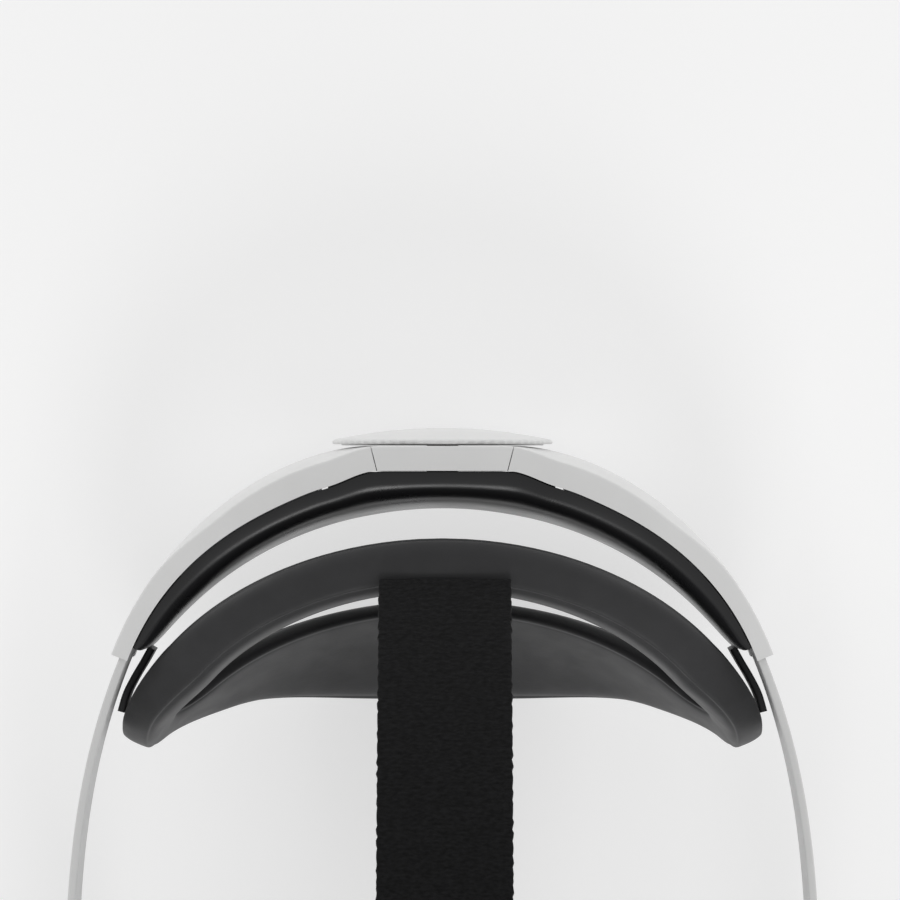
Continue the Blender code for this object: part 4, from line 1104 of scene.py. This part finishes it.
def make_visor_shells():
    lip = WINDOW_INSET - 0.6
    edge = SHELL_SPLIT - GAP / 2
    outer = wall_profile(((lip, 2.2), (lip, 0.8), (1.6, 1.2), (0.3, 3.0), (0.0, 5.0)))
    inner = ((SHELL_WALL, 5.6), (SHELL_WALL + 0.6, 4.4), (SHELL_WALL + 1.6, 3.4), (lip, 3.0))
    rings = [visor_ring(inset, back) for inset, back in outer]
    rings += [[(x, y + (edge - 0.5 - y) * share, z) for x, y, z in rings[-1]] for share in (0.33, 0.66, 1.0)]
    rings += [[(x, edge, z) for x, z in visor_outline(inset)] for inset in (0.35, SHELL_WALL)]
    rings += [visor_ring(inset, back) for inset, back in inner]
    shell = loft("front_shell_skin", rings, loop=True)
    button = flat_ring_solid("button_tool", circle(BUTTON_RADIUS, (BUTTON_X, BUTTON_Y), 48), 73, 87, "Z")
    rocker_hole = stadium(ROCKER_RADIUS, ROCKER_FROM, ROCKER_TO, BUTTON_Y)
    rocker = flat_ring_solid("rocker_tool", rocker_hole, 72, 90, "Z")
    port_hole = [(PORT_Y + a, PORT_Z + b) for b, a in stadium(2.0, -2.8, 2.8, 0)]
    port = flat_ring_solid("port_tool", port_hole, 68, 90, "X")
    vents = []
    for k in range(VENT_COUNT):
        across = (k - (VENT_COUNT - 1) / 2) * VENT_PITCH
        slot = [(across + a, VENT_Y + b) for b, a in stadium(0.6, -2.4, 2.4, 0, 6)]
        vents.append(flat_ring_solid("vent_tool", slot, 75, 95, "Z"))
    combine(shell, [button, rocker, port, *vents])
    dress(shell, "white_shell", "visor", ["visor_front_shell"])

    split = SHELL_SPLIT + GAP / 2
    wall = ((0.35, split), (0.0, split + 0.5), (0.0, -112.0), (1.0, -109.6), (3.0, REAR_RIM))
    outer = wall_profile(wall, 5)
    inner = ((3.8, REAR_RIM - 0.4), (SHELL_WALL + 0.8, -110.4), (SHELL_WALL, -112.2), (SHELL_WALL, split))
    rings = [[(x, y, z) for x, z in visor_outline(inset)] for inset, y in (*outer, *inner)]
    rear = loft("rear_shell_of_visor_skin", rings, loop=True)
    dress(rear, "white_shell", "visor", ["visor_rear_shell"])

    edge = visor_outline(WINDOW_INSET)
    rings = []
    shares = [1.0, 0.996] + [0.98 - 0.96 * k / 20 for k in range(21)]
    for k, share in enumerate(shares):
        points = [(x * share, WINDOW_MIDDLE + (z - WINDOW_MIDDLE) * share) for x, z in edge]
        dip = 0.35 if k == 0 else 0.0
        rings.append([(x, front_depth(x, z) + dip, z) for x, z in points])
    back = [[(x, y + SHELL_WALL - 0.2, z) for x, y, z in ring] for ring in rings]
    window = loft("front_window_skin", rings[::-1] + back)
    dress(window, "window", "visor", ["front_window"])
    for k, (across, up, radius) in enumerate(CAMERA_SPOTS):
        rings = []
        for reach, proud in ((0.02, 0.16), (0.5, 0.15), (0.8, 0.12), (0.96, 0.06), (1.0, -0.05)):
            rim = circle(radius * reach, (across, up), 48)
            rings.append([(x, front_depth(x, z) - proud, z) for x, z in rim])
        disc = loft(f"camera_window_{k + 1}", rings)
        dress(disc, "camera_glass", "visor", ())


def face_outline(inset=0.0, count=200):
    def curve(turn):
        angle = 2 * math.pi * turn
        x = (FACE_HALF_WIDTH - inset) * signed_power(math.cos(angle), 2 / FACE_SQUARENESS)
        z = FACE_MIDDLE + (FACE_HALF_HEIGHT - inset) * signed_power(math.sin(angle), 2 / FACE_SQUARENESS)
        lift = (NOSE_LIFT + 4) * math.exp(-((x / (NOSE_HALF + 2)) ** 2)) * max(0.0, -math.sin(angle))
        return (x, z + lift)

    return even_points(curve, count)


def face_wrap(x):
    return FACE_WRAP * (min(abs(x), FACE_HALF_WIDTH) / FACE_HALF_WIDTH) ** 2.2


def make_face_interface():
    sections = []
    for outer, inner in zip(face_outline(), face_outline(2.4)):
        rear = FACE_FRAME_REAR + face_wrap(outer.x)
        corners = rounded([(0.0, FACE_FRONT), (0.0, rear), (1.0, rear), (1.0, FACE_FRONT)], 0.5, 3)
        places = [(outer.lerp(inner, d), y) for d, y in corners]
        sections.append([(place.x, y, place.y) for place, y in places])
    surround = loft("face_frame_skin", sections, loop=True)
    dress(surround, "matt_black", "visor", ["face_frame"])

    depth = CUSHION_DEPTH
    profile = [(1.6, 0.0), (0.2, 0.9), (-0.7, 2.6), (-1.0, 4.6), (-0.9, 6.6), (-0.4, 8.2), (0.35, 8.9),
               (0.75, 8.7), (1.0, 9.2), (1.7, 10.6), (3.0, 11.5), (4.8, depth), (6.6, depth), (8.4, 11.6),
               (10.2, 10.6), (11.5, 9.3), (11.9, 8.6), (12.2, 8.9), (12.7, 8.2), (13.0, 6.4), (12.8, 4.2),
               (12.2, 2.2), (11.0, 0.6), (9.6, 0.0)]
    outlines = {inset: face_outline(inset) for inset, _ in profile}
    sections = []
    for k in range(len(outlines[profile[0][0]])):
        ring = []
        for inset, rise in profile:
            point = outlines[inset][k]
            ring.append((point.x, FACE_FRAME_REAR + face_wrap(outlines[1.6][k].x) + GAP + rise, point.y))
        sections.append(ring)
    cushion = loft("face_cushion_foam", sections, loop=True)
    modify(cushion, "SUBSURF", levels=1, render_levels=1)
    bake(cushion)
    dress(cushion, "face_knit", "visor", ["face_cushion"], 60)


def make_strap_loop():
    y, z = STRAP_LOOP
    middle = z - LOOP_HALF_HEIGHT + LOOP_BAR / 2
    section_count = 16
    wide, tall = LOOP_PATH_HALF
    path = rounded([(-wide, middle - tall), (wide, middle - tall), (wide, middle + tall),
                    (-wide, middle + tall)], 3.0, 8)
    rings = []
    for k, here in enumerate(path):
        before, after = path[k - 1], path[(k + 1) % len(path)]
        along = (after - before).normalized()
        side = Vector((along.y, -along.x))
        ring = []
        for step in range(section_count):
            turn = 2 * math.pi * step / section_count
            across = LOOP_BAR / 2 * signed_power(math.cos(turn), 0.7)
            deep = LOOP_BAR / 2 * signed_power(math.sin(turn), 0.7)
            ring.append((here.x + side.x * across, y + deep, here.y + side.y * across))
        rings.append(ring)
    loop = loft("strap_loop_skin", rings, loop=True)
    dress(loop, "satin_black", "visor", ["front_strap_loop"], 60)


# ---------------------------------------------------------------- the CAD nodes that stay


def dress_cad_nodes():
    looks_by_slot = {
        "white_shell": "white_shell", "window": "window", "satin_black": "satin_black",
        "soft_black": "pad_skin", "black_weave": "strap_nap", "lens_tint": "lens_glass",
        "dark_grey": "dark_grey", "steel": "steel", "board_green": "board", "cell_silver": "cell_foil",
    }
    matt = ("fan", "panel", "bracket", "barrel")
    for part in frame["record"]["subparts"]:
        node = frame["nodes"][part["node"]]
        if node.hide_render:
            continue
        look = looks_by_slot[part["material_slot"]]
        if look == "satin_black" and any(word in node.name for word in matt):
            look = "matt_black"
        node.data.materials.clear()
        node.data.materials.append(looks[look])
        shade(node)


make_camera()
make_studio()
looks = make_materials()
make_housing()
make_dial()
make_cradle()
make_arms()
make_strap()
make_visor_shells()
make_face_interface()
make_strap_loop()
dress_cad_nodes()
